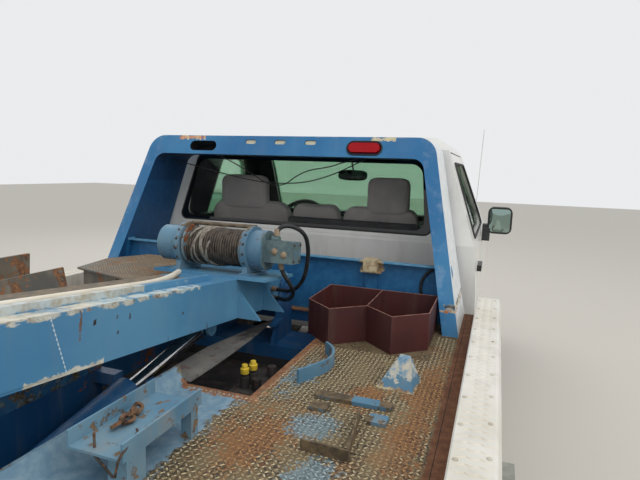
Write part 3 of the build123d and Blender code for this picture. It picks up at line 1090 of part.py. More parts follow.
# Winch: side plates, gear housing, motor and tie bar on the boom's plate
WINCH_LEFT = 155
WINCH_RIGHT = -135
PLATE_R = 96
WINCH_SHAFT_R = 20
with BuildPart() as winch_frame:
    for y0, y1 in ((WINCH_LEFT, WINCH_LEFT + 22), (WINCH_RIGHT - 22, WINCH_RIGHT)):
        with BuildSketch(boom_side.offset(y0)) as cheek:
            with Locations((WINCH_U, WINCH_V)):
                Circle(PLATE_R)
            Polygon((WINCH_U - 70, half_deep + WINCH_PLATE), (WINCH_U + 70, half_deep + WINCH_PLATE),
                    (WINCH_U + 60, WINCH_V), (WINCH_U - 60, WINCH_V), align=None)
        extrude(cheek.sketch, amount=y1 - y0)
    boom_round(WINCH_U, WINCH_LEFT + 20, WINCH_LEFT + 118, WINCH_V, 76)
    boom_round(WINCH_U, WINCH_RIGHT - 82, WINCH_RIGHT - 20, WINCH_V, 82)
    boom_block(WINCH_U - 44, WINCH_U + 44, WINCH_RIGHT - 205, WINCH_RIGHT - 80, WINCH_V - 44, WINCH_V + 44)
    boom_round(WINCH_U + 8, WINCH_RIGHT - 130, WINCH_RIGHT - 100, WINCH_V + 48, 15.5)
    boom_round(WINCH_U - 20, WINCH_RIGHT - 10, WINCH_LEFT + 10, WINCH_V + 92, 9)
    for y0, y1 in ((WINCH_LEFT - 6, WINCH_LEFT + 40), (WINCH_RIGHT - 40, WINCH_RIGHT + 6)):
        boom_block(WINCH_U - 80, WINCH_U + 80, y0, y1, half_deep + WINCH_PLATE, half_deep + WINCH_PLATE + 10)
    boom_round(WINCH_U, WINCH_RIGHT - 16, WINCH_LEFT + 16, WINCH_V, WINCH_SHAFT_R + RUNNING, mode=Mode.SUBTRACT)
save(winch_frame, "winch_frame")

with BuildPart() as winch_drum:
    boom_round(WINCH_U, WINCH_RIGHT - 15, WINCH_LEFT + 15, WINCH_V, WINCH_SHAFT_R)
    boom_round(WINCH_U, WINCH_RIGHT + 8, WINCH_LEFT - 8, WINCH_V, 68)
    boom_round(WINCH_U, WINCH_RIGHT + 7, WINCH_RIGHT + 15, WINCH_V, 84)
    boom_round(WINCH_U, WINCH_LEFT - 15, WINCH_LEFT - 7, WINCH_V, 84)
save(winch_drum, "winch_drum")

# Pressure hoses from the motor down to the boom's foot
HOSE_R = 9
HOSES = [
    [(361, -252, 260), (361, -252, 300), (330, -310, 322), (265, -350, 292), (215, -352, 205), (200, -335, 110),
     (190, -300, 40), (165, -240, 8), (128, -185, 6), (128, -141, 6)],
    [(350, -300, 149.5), (346, -304, 110), (312, -322, 62), (250, -305, 8), (180, -240, -30), (128, -180, -34),
     (128, -141, -34)],
]
HOSE_BEND = 0.42
with BuildPart() as winch_hoses:
    for route in HOSES:
        points = [Vector(*along_boom(*point)) for point in route]
        bends = []
        for before, here, after in zip(points, points[1:], points[2:]):
            turn = radians((here - before).get_angle(after - here))
            run = min((here - before).length, (after - here).length)
            bends.append(HOSE_BEND * run / tan(turn / 2))
        with BuildLine() as path:
            FilletPolyline(*points, radius=bends)
        with BuildSketch(Plane(origin=points[0], z_dir=points[1] - points[0])) as bore:
            RegularPolygon(HOSE_R, 8)
        sweep(bore.sketch, path=path.wire())
save(winch_hoses, "winch_hoses")

# Lift cylinder: the barrel on the well's bracket and its rod up to the boom's lug
BARREL_R = 50
BARREL_LONG = 480
ROD_R = 28
base = Vector(LIFT_BASE[0], 0, LIFT_BASE[1])
eye = Vector(*along_boom(LUG_U, 0, LUG_V))
lift_run = (eye - base).normalized()
EYE_DRIFT = 13
with BuildPart() as lift_barrel:
    rod(base + lift_run * 96, base + lift_run * BARREL_LONG, BARREL_R)
    rod(base, base + lift_run * 100, 24)
    drum(base.X, -LUG_GAP + 5, LUG_GAP - 5, base.Z, 36)
    rod(base + lift_run * 110, base + lift_run * (BARREL_LONG + 1), ROD_R + 1, mode=Mode.SUBTRACT)
    drum(base.X, -LUG_GAP, LUG_GAP, base.Z, LIFT_PIN_R + 1, mode=Mode.SUBTRACT)
save(lift_barrel, "lift_barrel")

with BuildPart() as lift_rod:
    rod(base + lift_run * 125, eye - lift_run * 20, ROD_R)
    drum(eye.X, -LUG_GAP + 4, LUG_GAP - 4, eye.Z, 46)
    drum(eye.X, -LUG_GAP, LUG_GAP, eye.Z, LIFT_PIN_R - 4 + EYE_DRIFT, mode=Mode.SUBTRACT)
save(lift_rod, "lift_rod")
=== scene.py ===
import bpy
import numpy as np
from mathutils import Matrix, Vector


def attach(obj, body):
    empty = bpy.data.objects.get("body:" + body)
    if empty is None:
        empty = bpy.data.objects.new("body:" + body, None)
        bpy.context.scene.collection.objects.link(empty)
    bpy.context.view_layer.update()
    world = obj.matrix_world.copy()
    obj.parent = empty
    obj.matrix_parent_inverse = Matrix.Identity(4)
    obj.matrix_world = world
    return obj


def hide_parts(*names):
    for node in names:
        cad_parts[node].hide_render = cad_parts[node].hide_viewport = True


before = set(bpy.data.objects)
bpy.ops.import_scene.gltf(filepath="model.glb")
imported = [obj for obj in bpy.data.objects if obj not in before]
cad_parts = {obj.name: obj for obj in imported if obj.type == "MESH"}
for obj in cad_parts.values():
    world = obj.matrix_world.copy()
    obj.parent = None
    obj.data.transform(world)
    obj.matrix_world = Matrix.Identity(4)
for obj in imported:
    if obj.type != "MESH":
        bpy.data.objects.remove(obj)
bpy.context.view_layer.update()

# Camera: it stands at the tail's right corner, at about a head's height, and looks forward and down
# across the deck to the pylon and the cab's rear window.
CAMERA_AT = (-2.7406, -1.0820, 1.6926)
CAMERA_RIGHT = (0.3349, -0.9417, 0.0324)
CAMERA_UP = (0.1213, 0.0772, 0.9896)
CAMERA_BACK = (-0.9344, -0.3275, 0.1401)
CAMERA_LENS = 28.16

camera_data = bpy.data.cameras.new("camera")
camera_data.lens = CAMERA_LENS
camera_data.sensor_width = 36.0
camera_data.clip_start = 0.05
camera = bpy.data.objects.new("camera", camera_data)
bpy.context.scene.collection.objects.link(camera)
camera.matrix_world = Matrix.Translation(CAMERA_AT) @ Matrix(
    (CAMERA_RIGHT, CAMERA_UP, CAMERA_BACK)).transposed().to_4x4()
bpy.context.scene.camera = camera
bpy.context.scene.view_settings.view_transform = "Standard"

# Studio: a pale floor under the wheels, an even pale sky, one broad soft key lamp over the
# right of the tail and a weaker one over the nose.
FLOOR_SIZE = 60.0
FLOOR_COLOUR = (0.60, 0.57, 0.51, 1.0)
SKY_LEVEL = 0.80
KEY_LAMPS = (("key_lamp", (-3.5, -5.0, 7.0), 7.0, 250.0), ("nose_lamp", (6.0, 4.5, 6.5), 6.0, 130.0))


def plain_mesh(name, points, faces):
    """A mesh object from corner points and faces, linked to the scene, with its place in its mesh."""
    mesh = bpy.data.meshes.new(name)
    mesh.from_pydata([tuple(p) for p in np.asarray(points, float)], [], [tuple(f) for f in faces])
    mesh.validate()
    mesh.update()
    made = bpy.data.objects.new(name, mesh)
    bpy.context.scene.collection.objects.link(made)
    return made


half_floor = FLOOR_SIZE / 2
floor = plain_mesh("floor", [(-half_floor, -half_floor, 0), (half_floor, -half_floor, 0),
                             (half_floor, half_floor, 0), (-half_floor, half_floor, 0)], [(0, 1, 2, 3)])
floor_finish = bpy.data.materials.new("floor_finish")
floor_finish.use_nodes = True
floor_finish.node_tree.nodes["Principled BSDF"].inputs["Base Color"].default_value = FLOOR_COLOUR
floor_finish.node_tree.nodes["Principled BSDF"].inputs["Roughness"].default_value = 0.8
floor.data.materials.append(floor_finish)

world = bpy.data.worlds.new("sky")
bpy.context.scene.world = world
world.use_nodes = True
sky_nodes, sky_links = world.node_tree.nodes, world.node_tree.links
background = sky_nodes["Background"]
background.inputs["Color"].default_value = (0.97, 0.98, 1.0, 1.0)
ray_kind = sky_nodes.new("ShaderNodeLightPath")
direct = sky_nodes.new("ShaderNodeMath")
direct.operation = "MAXIMUM"
sky_links.new(ray_kind.outputs["Is Camera Ray"], direct.inputs[0])
sky_links.new(ray_kind.outputs["Is Transmission Ray"], direct.inputs[1])
sky_strength = sky_nodes.new("ShaderNodeMapRange")
sky_strength.inputs["To Min"].default_value = SKY_LEVEL
sky_strength.inputs["To Max"].default_value = 0.85
sky_links.new(direct.outputs[0], sky_strength.inputs["Value"])
sky_links.new(sky_strength.outputs["Result"], background.inputs["Strength"])

for lamp_name, lamp_at, lamp_size, lamp_power in KEY_LAMPS:
    lamp_data = bpy.data.lights.new(lamp_name, "AREA")
    lamp_data.size = lamp_size
    lamp_data.energy = lamp_power
    lamp = bpy.data.objects.new(lamp_name, lamp_data)
    lamp.location = lamp_at
    aim = Vector((0.0, 0.0, 0.8)) - Vector(lamp_at)
    lamp.rotation_euler = aim.to_track_quat("-Z", "Y").to_euler()
    bpy.context.scene.collection.objects.link(lamp)

# Chassis frame, axles and tank: rolled and forged steel under black paint that has gone grey with road
# dust and lets rust through in patches. The engine and gearbox are dusty grey castings, and the valve
# block under the deck's opening is near black with oily grime and rust: its black is partly painted
# shade, which keeps the opening under the deck dark.


def seen(red, green, blue):
    """A colour as it looks on a screen, 0 to 255 a channel, turned into a shader's linear values."""
    channels = np.array([red, green, blue]) / 255.0
    linear = np.where(channels <= 0.04045, channels / 12.92, ((channels + 0.055) / 1.055) ** 2.4)
    return (*map(float, linear), 1.0)


def add_node(tree, kind, links=(), values=(), **settings):
    """One shader node: its settings, its fixed values and the sockets that feed it."""
    made = tree.nodes.new(kind)
    for setting, value in settings.items():
        setattr(made, setting, value)
    for socket, value in values:
        made.inputs[socket].default_value = value
    for socket, source in links:
        tree.links.new(source, made.inputs[socket])
    return made


def start_finish(name, roughness, metallic=0.0):
    """A new material with its node tree, its shader and the place of each point on the object."""
    made = bpy.data.materials.new(name)
    made.use_nodes = True
    tree = made.node_tree
    shader = tree.nodes["Principled BSDF"]
    shader.inputs["Roughness"].default_value = roughness
    shader.inputs["Metallic"].default_value = metallic
    return made, tree, shader, add_node(tree, "ShaderNodeTexCoord").outputs["Object"]


def between(tree, source, low, high, start=0.0, end=1.0):
    """A soft ramp from start, at low, to end, at high, and level outside them."""
    return add_node(tree, "ShaderNodeMapRange", [("Value", source)],
                    [("From Min", low), ("From Max", high), ("To Min", start), ("To Max", end)],
                    interpolation_type="SMOOTHSTEP").outputs["Result"]


def cloud(tree, place, lumps, detail=4.0, stretch=(1.0, 1.0, 1.0)):
    """Cloudy noise with that many lumps a metre, stretched along an axis by a number under 1."""
    if stretch != (1.0, 1.0, 1.0):
        place = add_node(tree, "ShaderNodeMapping", [("Vector", place)], [("Scale", stretch)]).outputs[0]
    return add_node(tree, "ShaderNodeTexNoise", [("Vector", place)],
                    [("Scale", lumps), ("Detail", detail), ("Roughness", 0.62)]).outputs["Fac"]


def sums(tree, kind, first, second):
    """ADD, SUBTRACT, MULTIPLY, MAXIMUM or MINIMUM of two masks, or of a mask and a number."""
    made = add_node(tree, "ShaderNodeMath", operation=kind)
    for socket, source in enumerate((first, second)):
        if isinstance(source, (int, float)):
            made.inputs[socket].default_value = source
        else:
            tree.links.new(source, made.inputs[socket])
    return made.outputs[0]


def over(tree, share, under, upper):
    """One colour laid over another by a share from 0 to 1."""
    made = add_node(tree, "ShaderNodeMix", data_type="RGBA")
    for socket, source in ((0, share), (6, under), (7, upper)):
        if isinstance(source, (int, float, tuple)):
            made.inputs[socket].default_value = source
        else:
            tree.links.new(source, made.inputs[socket])
    return made.outputs[2]


def shade(tree, place, lumps, low, high, first, second, detail=4.0):
    """Two colours that drift into each other with cloudy noise: the first where it is below low, the
    second where it is above high."""
    return over(tree, between(tree, cloud(tree, place, lumps, detail), low, high), first, second)


def near_plane(tree, place, normal, offset, width):
    """1 on the plane where normal times place is offset, and 0 from width away."""
    along = add_node(tree, "ShaderNodeVectorMath", [(0, place)], [(1, normal)],
                     operation="DOT_PRODUCT").outputs["Value"]
    away = add_node(tree, "ShaderNodeMath", [(0, sums(tree, "SUBTRACT", along, offset))],
                    operation="ABSOLUTE").outputs[0]
    return between(tree, away, 0.0, width, 1.0, 0.0)


def raise_by(tree, shader, height, distance):
    """A bump of that height map, distance metres deep, on the shader."""
    bump = add_node(tree, "ShaderNodeBump", [("Height", height)], [("Distance", distance), ("Strength", 1.0)])
    tree.links.new(bump.outputs["Normal"], shader.inputs["Normal"])


RUST_DARK = seen(66, 40, 28)
RUST_BRIGHT = seen(148, 88, 46)
ROAD_DUST = seen(150, 140, 124)


def worn_paint(name, coat, faded, rust_from=0.62, lumps=4.0, roughness=0.4, edges=(), dust=0.3,
               rust=(RUST_DARK, RUST_BRIGHT), scratch=0.0):
    """Old paint on steel: two shades drift into each other, dust runs down it in streaks, and rust
    shows where coarse and fine noise together pass a level, which is lower near the given edges,
    each a unit normal, its offset and a width."""
    made, tree, shader, place = start_finish(name, roughness)
    colour = shade(tree, place, 2.1, 0.38, 0.66, coat, faded)
    streak = between(tree, cloud(tree, place, 14.0, 3.0, (1.0, 1.0, 0.15)), 0.45, 0.8)
    colour = over(tree, sums(tree, "MULTIPLY", streak, dust), colour, ROAD_DUST)
    fine = cloud(tree, place, 55.0, 5.0)
    level = sums(tree, "ADD", sums(tree, "MULTIPLY", cloud(tree, place, lumps), 0.6),
                 sums(tree, "MULTIPLY", fine, 0.4))
    for normal, offset, width in edges:
        near = near_plane(tree, place, normal, offset, width)
        level = sums(tree, "ADD", level, sums(tree, "MULTIPLY", near, 0.16))
    if scratch:
        lines = between(tree, cloud(tree, place, 26.0, 2.0, (0.12, 1.0, 1.0)), 0.66, 0.72)
        level = sums(tree, "ADD", level, sums(tree, "MULTIPLY", lines, scratch))
    bare = between(tree, level, rust_from, rust_from + 0.045)
    rusty = over(tree, between(tree, fine, 0.4, 0.62), rust[0], rust[1])
    tree.links.new(over(tree, bare, colour, rusty), shader.inputs["Base Color"])
    tree.links.new(between(tree, bare, 0.0, 1.0, roughness, 0.88), shader.inputs["Roughness"])
    raise_by(tree, shader, sums(tree, "SUBTRACT", sums(tree, "MULTIPLY", fine, 0.35), bare), 0.0008)
    return made


def dress(finish, *nodes):
    """The finish on CAD nodes, in all their material slots."""
    for node in nodes:
        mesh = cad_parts[node].data
        if not mesh.materials:
            mesh.materials.append(finish)
        for slot in range(len(mesh.materials)):
            mesh.materials[slot] = finish


chassis_black = worn_paint("chassis_black", seen(38, 37, 36), seen(58, 55, 51), 0.6, 5.0, 0.62, dust=0.5)
dress(chassis_black, "chassis_frame", "fuel_tank", "front_axle", "rear_axle", "knuckle_left", "knuckle_right")
engine_grey = worn_paint("engine_grey", seen(70, 66, 60), seen(92, 84, 74), 0.52, 8.0, 0.7, dust=0.6)
dress(engine_grey, "driveline")
# the valve block's near black is oily grime and rust, and partly painted shade under the deck's opening
valve_grime_and_shade = worn_paint("valve_grime_and_shade", seen(30, 28, 28), seen(66, 60, 58), 0.56, 24.0, 0.7, dust=0.25,
                         rust=(seen(26, 20, 18), seen(84, 58, 46)))
dress(valve_grime_and_shade, "valve_block")

# Tyres: moulded rubber with blocks at the shoulders, three grooves round the tread and ribs
# between them. Worn and dusty. One on each front rim, two side by side on each rear rim.
FRONT_AXLE_X = 1.925
REAR_AXLE_X = -1.651
FRONT_TYRE_Y = 0.868
REAR_TYRE_Y = 0.915
TWIN_OFFSET = 0.1325
WHEEL_Z = 0.403
TYRE_HALF = 0.1175
TREAD_PITCHES = 62
GROOVE = 0.009
# out from the tyre's middle, radius, sunk by the cross grooves, sunk by the round grooves
TYRE_LINE = [(-0.080, 0.208, 0, 0), (-0.081, 0.228, 0, 0), (-0.094, 0.243, 0, 0), (-0.106, 0.266, 0, 0),
             (-0.1145, 0.290, 0, 0), (-0.1175, 0.312, 0, 0), (-0.1168, 0.334, 0, 0), (-0.114, 0.353, 0, 0),
             (-0.1115, 0.3555, 0, 0), (-0.107, 0.3725, 1, 0), (-0.0985, 0.3895, 1, 0),
             (-0.083, 0.4005, 1, 0), (-0.052, 0.402, 1, 0), (-0.0505, 0.402, 0, 1), (-0.043, 0.4022, 0, 1),
             (-0.0415, 0.4024, 0, 0), (-0.0055, 0.4029, 0, 0), (-0.004, 0.4029, 0, 1)]
TYRE_LINE = TYRE_LINE + [(-out, r, cross, around) for out, r, cross, around in TYRE_LINE[::-1]]
BLOCK_STEPS = ((0.0, 0), (0.62, 0), (0.67, 1), (0.95, 1))


def grid_mesh(name, points, closed_rows=False, closed_columns=False, sharp=0.6):
    """A mesh from a grid of points, rows by columns by 3, with four-cornered faces between neighbours.
    The faces of a closed one are turned to point outwards, by the sign of the volume that they enclose:
    the sum over two triangles a face of one corner's dot product with the cross product of the others."""
    rows, columns = points.shape[:2]
    number = np.arange(rows * columns).reshape(rows, columns)
    if closed_rows:
        number = np.vstack([number, number[:1]])
    if closed_columns:
        number = np.hstack([number, number[:, :1]])
    faces = np.stack([number[:-1, :-1], number[:-1, 1:], number[1:, 1:], number[1:, :-1]], -1).reshape(-1, 4)
    flat = points.reshape(-1, 3)
    a, b, c, d = (flat[faces] - flat.mean(0)).transpose(1, 0, 2)
    if (closed_rows or closed_columns) and (np.cross(b, c) * a + np.cross(c, d) * a).sum() < 0:
        faces = faces[:, ::-1]
    return smooth_mesh(name, flat, faces, sharp)


def smooth_mesh(name, points, faces, sharp=0.6):
    """A smooth-shaded mesh from points and four- or three-cornered faces, sharp past an angle in radians."""
    faces = np.asarray(faces)
    corners = faces.shape[1]
    mesh = bpy.data.meshes.new(name)
    mesh.vertices.add(len(points))
    mesh.vertices.foreach_set("co", np.asarray(points, np.float32).ravel())
    mesh.loops.add(faces.size)
    mesh.loops.foreach_set("vertex_index", faces.ravel().astype(np.int32))
    mesh.polygons.add(len(faces))
    mesh.polygons.foreach_set("loop_start", np.arange(0, faces.size, corners, dtype=np.int32))
    mesh.polygons.foreach_set("use_smooth", np.ones(len(faces), bool))
    mesh.update(calc_edges=True)
    mesh.set_sharp_from_angle(angle=sharp)
    made = bpy.data.objects.new(name, mesh)
    bpy.context.scene.collection.objects.link(made)
    return made


def tyre(name, x, y):
    """The tyre's line turned about its axle. Cross grooves slant back from the middle and are sunk
    where the turn falls in a pitch's last third, and the round grooves are sunk all the way."""
    out, radius, cross, around = np.array(TYRE_LINE, float).T
    pitch = 2 * np.pi / TREAD_PITCHES
    turn = (np.arange(TREAD_PITCHES)[:, None] + np.array([step for step, _ in BLOCK_STEPS])) * pitch
    sunk = np.tile([low for _, low in BLOCK_STEPS], TREAD_PITCHES)
    turn = turn.ravel()[:, None] + 0.5 * pitch * np.abs(out)[None, :] / TYRE_HALF
    deep = GROOVE * np.maximum(cross[None, :] * sunk[:, None], around[None, :])
    r = radius[None, :] - deep
    across = y + np.broadcast_to(out, r.shape)
    points = np.stack([x + r * np.cos(turn), across, WHEEL_Z + r * np.sin(turn)], -1)
    inner = points[:, [-1, 0]].mean(1, keepdims=True)
    closed = np.concatenate([points, inner], 1)
    return grid_mesh(name, closed[:, ::-1], closed_rows=True, closed_columns=True, sharp=0.7)


tyre_black, tree, shader, place = start_finish("tyre_black", 0.78)
rubber_tone = shade(tree, place, 6.0, 0.35, 0.7, seen(34, 33, 33), seen(62, 59, 56))
dusty = sums(tree, "MULTIPLY", between(tree, cloud(tree, place, 40.0, 5.0), 0.5, 0.75), 0.4)
tree.links.new(over(tree, dusty, rubber_tone, ROAD_DUST), shader.inputs["Base Color"])
raise_by(tree, shader, cloud(tree, place, 160.0, 3.0), 0.0006)

for side_name, side in (("left", 1), ("right", -1)):
    made = tyre(f"front_tyre_{side_name}", FRONT_AXLE_X, side * FRONT_TYRE_Y)
    made.data.materials.append(tyre_black)
    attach(made, f"wheel_front_{side_name}")
    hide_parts(f"tyre_front_{side_name}")
    for which, offset in (("outer", TWIN_OFFSET), ("inner", -TWIN_OFFSET)):
        made = tyre(f"rear_tyre_{which}_{side_name}", REAR_AXLE_X, side * (REAR_TYRE_Y + offset))
        made.data.materials.append(tyre_black)
        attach(made, f"wheels_rear_{side_name}")
        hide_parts(f"tyres_rear_{side_name}")

# Rims: pressed steel discs bolted to the hubs, once white, now streaked with dust and with small chips
# gone to rust.
rim_white = worn_paint("rim_white", seen(196, 194, 188), seen(168, 164, 156), 0.585, 18.0, 0.42, dust=0.55)
dress(rim_white, "rim_front_left", "rim_front_right", "rims_rear_left", "rims_rear_right")

# Cab, doors, fenders, hood, side boxes and tailboard: gloss white over pressed steel, streaked with dust.
# Small rust spots show, more of them towards the sills. The cab is lined with dark moulded trim.
cab_white = worn_paint("cab_white", seen(226, 225, 220), seen(212, 211, 205), 0.675, 7.0, 0.24, dust=0.16,
                       edges=[((0.0, 0.0, 1.0), 0.52, 0.09)])
dress(cab_white, "cab_shell", "door_left", "door_right", "front_clip", "hood")
box_white = worn_paint("box_white", seen(224, 221, 212), seen(208, 203, 190), 0.65, 9.0, 0.36, dust=0.3,
                       edges=[((0.0, 0.0, 1.0), 0.565, 0.07), ((1.0, 0.0, 0.0), -2.581, 0.05)])
dress(box_white, "side_box_left", "side_box_right", "box_door_left", "box_door_right", "tailboard")

TRIM_DARK = seen(30, 30, 33)
TRIM_PALE = seen(46, 45, 47)
MOULDED_BLACK = (seen(22, 22, 23), seen(40, 40, 40))
# the inner sides of the cab's walls, roof, glass and floor: a normal, with y measured off the middle,
# and an offset
CAB_LINING = [((-1, 0, 0), 0.077), ((-1, 0, 0.245), 0.4016), ((0, 1, 0), 0.974), ((0, 1, 0.341), 1.4148),
              ((0, 0, 1), 1.875), ((0, 0.55, 1), 2.243), ((-0.576, 0, 0.817), 1.452),
              ((0.746, 0, 0.666), 1.900), ((0, 0, -1), -0.786), ((1, 0, 0), 1.44)]


def folded(tree, place):
    """The same place with its distance from the truck's middle plane instead of y."""
    parts = add_node(tree, "ShaderNodeSeparateXYZ", [("Vector", place)]).outputs
    off = add_node(tree, "ShaderNodeMath", [(0, parts["Y"])], operation="ABSOLUTE").outputs[0]
    return add_node(tree, "ShaderNodeCombineXYZ",
                    [("X", parts["X"]), ("Y", off), ("Z", parts["Z"])]).outputs[0]


def walls_of(x=None, y=None, z=None):
    """The walls of a block from its limits along each axis, each as an outward normal and an offset."""
    walls = []
    for axis, limits in enumerate((x, y, z)):
        for sign, limit in zip((-1, 1), limits or ()):
            walls.append((tuple(sign * float(axis == part) for part in range(3)), sign * limit))
    return walls


def lay_over(made, share, tone, roughness):
    """A further coat on a finished material: its colour and roughness by a share from 0 to 1."""
    tree = made.node_tree
    shader = tree.nodes["Principled BSDF"]
    under = shader.inputs["Base Color"].links[0].from_socket
    tree.links.new(over(tree, share, under, tone), shader.inputs["Base Color"])
    rough = shader.inputs["Roughness"]
    mixed = add_node(tree, "ShaderNodeMix", [(0, share)], [(2, rough.default_value), (3, roughness)])
    if rough.is_linked:
        tree.links.new(rough.links[0].from_socket, mixed.inputs[2])
    tree.links.new(mixed.outputs[0], rough)


def repaint(made, walls, first, second, roughness=0.6, soft=0.003, ragged=0.0, lumps=12.0, fold=True):
    """Another paint where a place lies on the inner side of every wall: a soft step of the least room to
    a wall, shifted by up to ragged metres of cloudy noise."""
    tree = made.node_tree
    place = add_node(tree, "ShaderNodeTexCoord").outputs["Object"]
    measured = folded(tree, place) if fold else place
    least = None
    for normal, offset in walls:
        along = add_node(tree, "ShaderNodeVectorMath", [(0, measured)], [(1, normal)],
                         operation="DOT_PRODUCT").outputs["Value"]
        room = sums(tree, "SUBTRACT", float(offset), along)
        least = room if least is None else sums(tree, "MINIMUM", least, room)
    if ragged:
        shift = between(tree, cloud(tree, place, lumps, 5.0), 0.3, 0.7, -ragged, ragged)
        least = sums(tree, "ADD", least, shift)
    tone = shade(tree, place, 30.0, 0.38, 0.66, first, second)
    lay_over(made, between(tree, least, -soft, soft), tone, roughness)


repaint(cab_white, CAB_LINING, TRIM_DARK, TRIM_PALE, 0.8)
repaint(cab_white, walls_of((0.05, 0.21), (1.005, 1.1), (1.172, 1.208)), *MOULDED_BLACK, 0.45)
repaint(cab_white, walls_of((0.83, 0.99), (0.998, 1.3), (1.24, 1.5)), *MOULDED_BLACK, 0.45)
repaint(box_white, walls_of(y=(1.1365, 1.3), z=(0.0, 0.95)), seen(150, 153, 144), seen(130, 131, 122), 0.6,
        ragged=0.001)

# Glass: clear panes, gloss on both faces. The rear window is a faint grey. The windscreen and the door
# windows are tinted green, and the door glass is near black behind a line across it: painted shade.
SHADED_GLASS_X = 0.50
SHADED_GLASS_SOFT = 0.01
GLASS_GREEN = seen(66, 164, 92)


def glass(name, tint, cover, tinted=0.0):
    """A pane: its tint, how much of each face is covered and not clear air, and how much of the cover is
    tinted glass and not paint."""
    made, _, shader, _ = start_finish(name, 0.02)
    shader.inputs["Base Color"].default_value = tint
    shader.inputs["Alpha"].default_value = cover
    shader.inputs["Transmission Weight"].default_value = tinted
    shader.inputs["Specular IOR Level"].default_value = 0.6
    return made


def split_finish(node, finishes, which):
    """A CAD node's faces shared out among finishes, by a number for each face's middle."""
    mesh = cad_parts[node].data
    mesh.materials.clear()
    for finish in finishes:
        mesh.materials.append(finish)
    middles = np.empty(3 * len(mesh.polygons))
    mesh.polygons.foreach_get("center", middles)
    mesh.polygons.foreach_set("material_index", which(middles.reshape(-1, 3)).astype(np.int32))


rear_pane = glass("rear_pane", seen(50, 58, 58), 0.06)
green_pane = glass("green_pane", GLASS_GREEN, 0.60, 1.0)
split_finish("cab_glass", (rear_pane, green_pane), lambda middles: middles[:, 0] > 0.4)
side_pane, tree, shader, place = start_finish("side_pane", 0.02)
shader.inputs["Transmission Weight"].default_value = 1.0
# the door glass behind this line is near black and nearly opaque: painted shade
forward = add_node(tree, "ShaderNodeSeparateXYZ", [("Vector", place)]).outputs["X"]
shaded_glass_edge = (SHADED_GLASS_X - SHADED_GLASS_SOFT, SHADED_GLASS_X + SHADED_GLASS_SOFT)
tree.links.new(between(tree, forward, *shaded_glass_edge, 0.96, 0.60), shader.inputs["Alpha"])
tree.links.new(over(tree, between(tree, forward, *shaded_glass_edge), seen(6, 7, 8), GLASS_GREEN),
               shader.inputs["Base Color"])
dress(side_pane, "door_glass_left", "door_glass_right")

# Seals: black rubber beads pressed round the edges of the windscreen, the rear window and the door
# glass, a painted band and a frame round the rear window, and the glass of the outside mirrors.
CAB_BACK_X = -0.101
BELT_Z = 1.325
BACK_TOP = (0.019, 1.815)
REAR_WINDOW_MIDDLE = 1.571


def drifting(name, roughness, lumps, low, high, first, second, metallic=0.0, grain=()):
    """A plain finish in two colours that drift into each other. Its grain, where it has one, is a bump
    of cloudy noise: lumps a metre, detail and depth."""
    made, tree, shader, place = start_finish(name, roughness, metallic)
    tree.links.new(shade(tree, place, lumps, low, high, first, second), shader.inputs["Base Color"])
    if grain:
        raise_by(tree, shader, cloud(tree, place, *grain[:2]), grain[2])
    return made


def square_to(path, reference, closed=False):
    """Two unit directions square to a path and to each other at each of its points, turned from a
    reference direction that the path never follows."""
    ahead = np.roll(path, -1, 0) - np.roll(path, 1, 0) if closed else np.gradient(path, axis=0)
    ahead /= np.linalg.norm(ahead, axis=1, keepdims=True)
    across = np.cross(ahead, np.asarray(reference, float))
    across /= np.linalg.norm(across, axis=1, keepdims=True)
    return across, np.cross(across, ahead)


def rings_on(path, across, up, size, sides):
    """Rings of points round a path: its points plus size times the cosine and sine of even turns."""
    turn = 2 * np.pi * np.arange(sides) / sides
    round_it = np.cos(turn)[None, :, None] * across[:, None] + np.sin(turn)[None, :, None] * up[:, None]
    return (path[:, None] + size[..., None] * round_it)[:, ::-1]


def tube_along(name, path, radius, sides=10, closed=False, reference=(0.0, 0.0, 1.0)):
    """A circle carried along a path and square to it. Open ends are drawn together to a point."""
    path = np.asarray(path, float)
    across, up = square_to(path, reference, closed)
    size = np.broadcast_to(np.asarray(radius, float), (len(path),))
    if not closed:
        path, across, up = (np.vstack([part[:1], part, part[-1:]]) for part in (path, across, up))
        size = np.concatenate([[0.0], size, [0.0]])
    return grid_mesh(name, rings_on(path, across, up, size[:, None], sides), closed_rows=closed,
                     closed_columns=True, sharp=0.9)


def rounded_loop(half_wide, half_high, corner, steps=8):
    """Points round a rectangle whose corners are quarter circles, as two arrays."""
    turn = np.linspace(0, np.pi / 2, steps)
    quarter = np.concatenate([turn + k * np.pi / 2 for k in range(4)])
    middle_x = np.repeat([1, -1, -1, 1], steps) * (half_wide - corner)
    middle_y = np.repeat([1, 1, -1, -1], steps) * (half_high - corner)
    return middle_x + corner * np.cos(quarter), middle_y + corner * np.sin(quarter)


def cab_back_at(z):
    """How far forward the cab's back panel is at a height."""
    lean = (BACK_TOP[0] - CAB_BACK_X) / (BACK_TOP[1] - BELT_Z)
    return CAB_BACK_X + lean * (np.asarray(z) - BELT_Z)


seal_rubber = drifting("seal_rubber", 0.6, 30.0, 0.4, 0.7, seen(24, 24, 25), seen(46, 45, 44))


def window_line(half_wide, half_high, corner, narrow, proud):
    """Points round the rear window on the cab's leaning back: a rounded rectangle whose width narrows in
    step with height, by that share at its top, and stands proud of the panel."""
    y, z = rounded_loop(half_wide, half_high, corner)
    y = y * (1 - narrow * z / half_high)
    z = z + REAR_WINDOW_MIDDLE
    return np.stack([cab_back_at(z) - proud, y, z], -1)


def flat_ring(name, inner, outer, thick):
    """A flat band between two loops of points on the cab's back, with its four edges closed."""
    back = np.array([thick, 0.0, 0.0])
    return grid_mesh(name, np.stack([inner, outer, outer + back, inner + back]), closed_rows=True,
                     closed_columns=True)


band_black = glass("band_black", seen(8, 9, 11), 1.0)
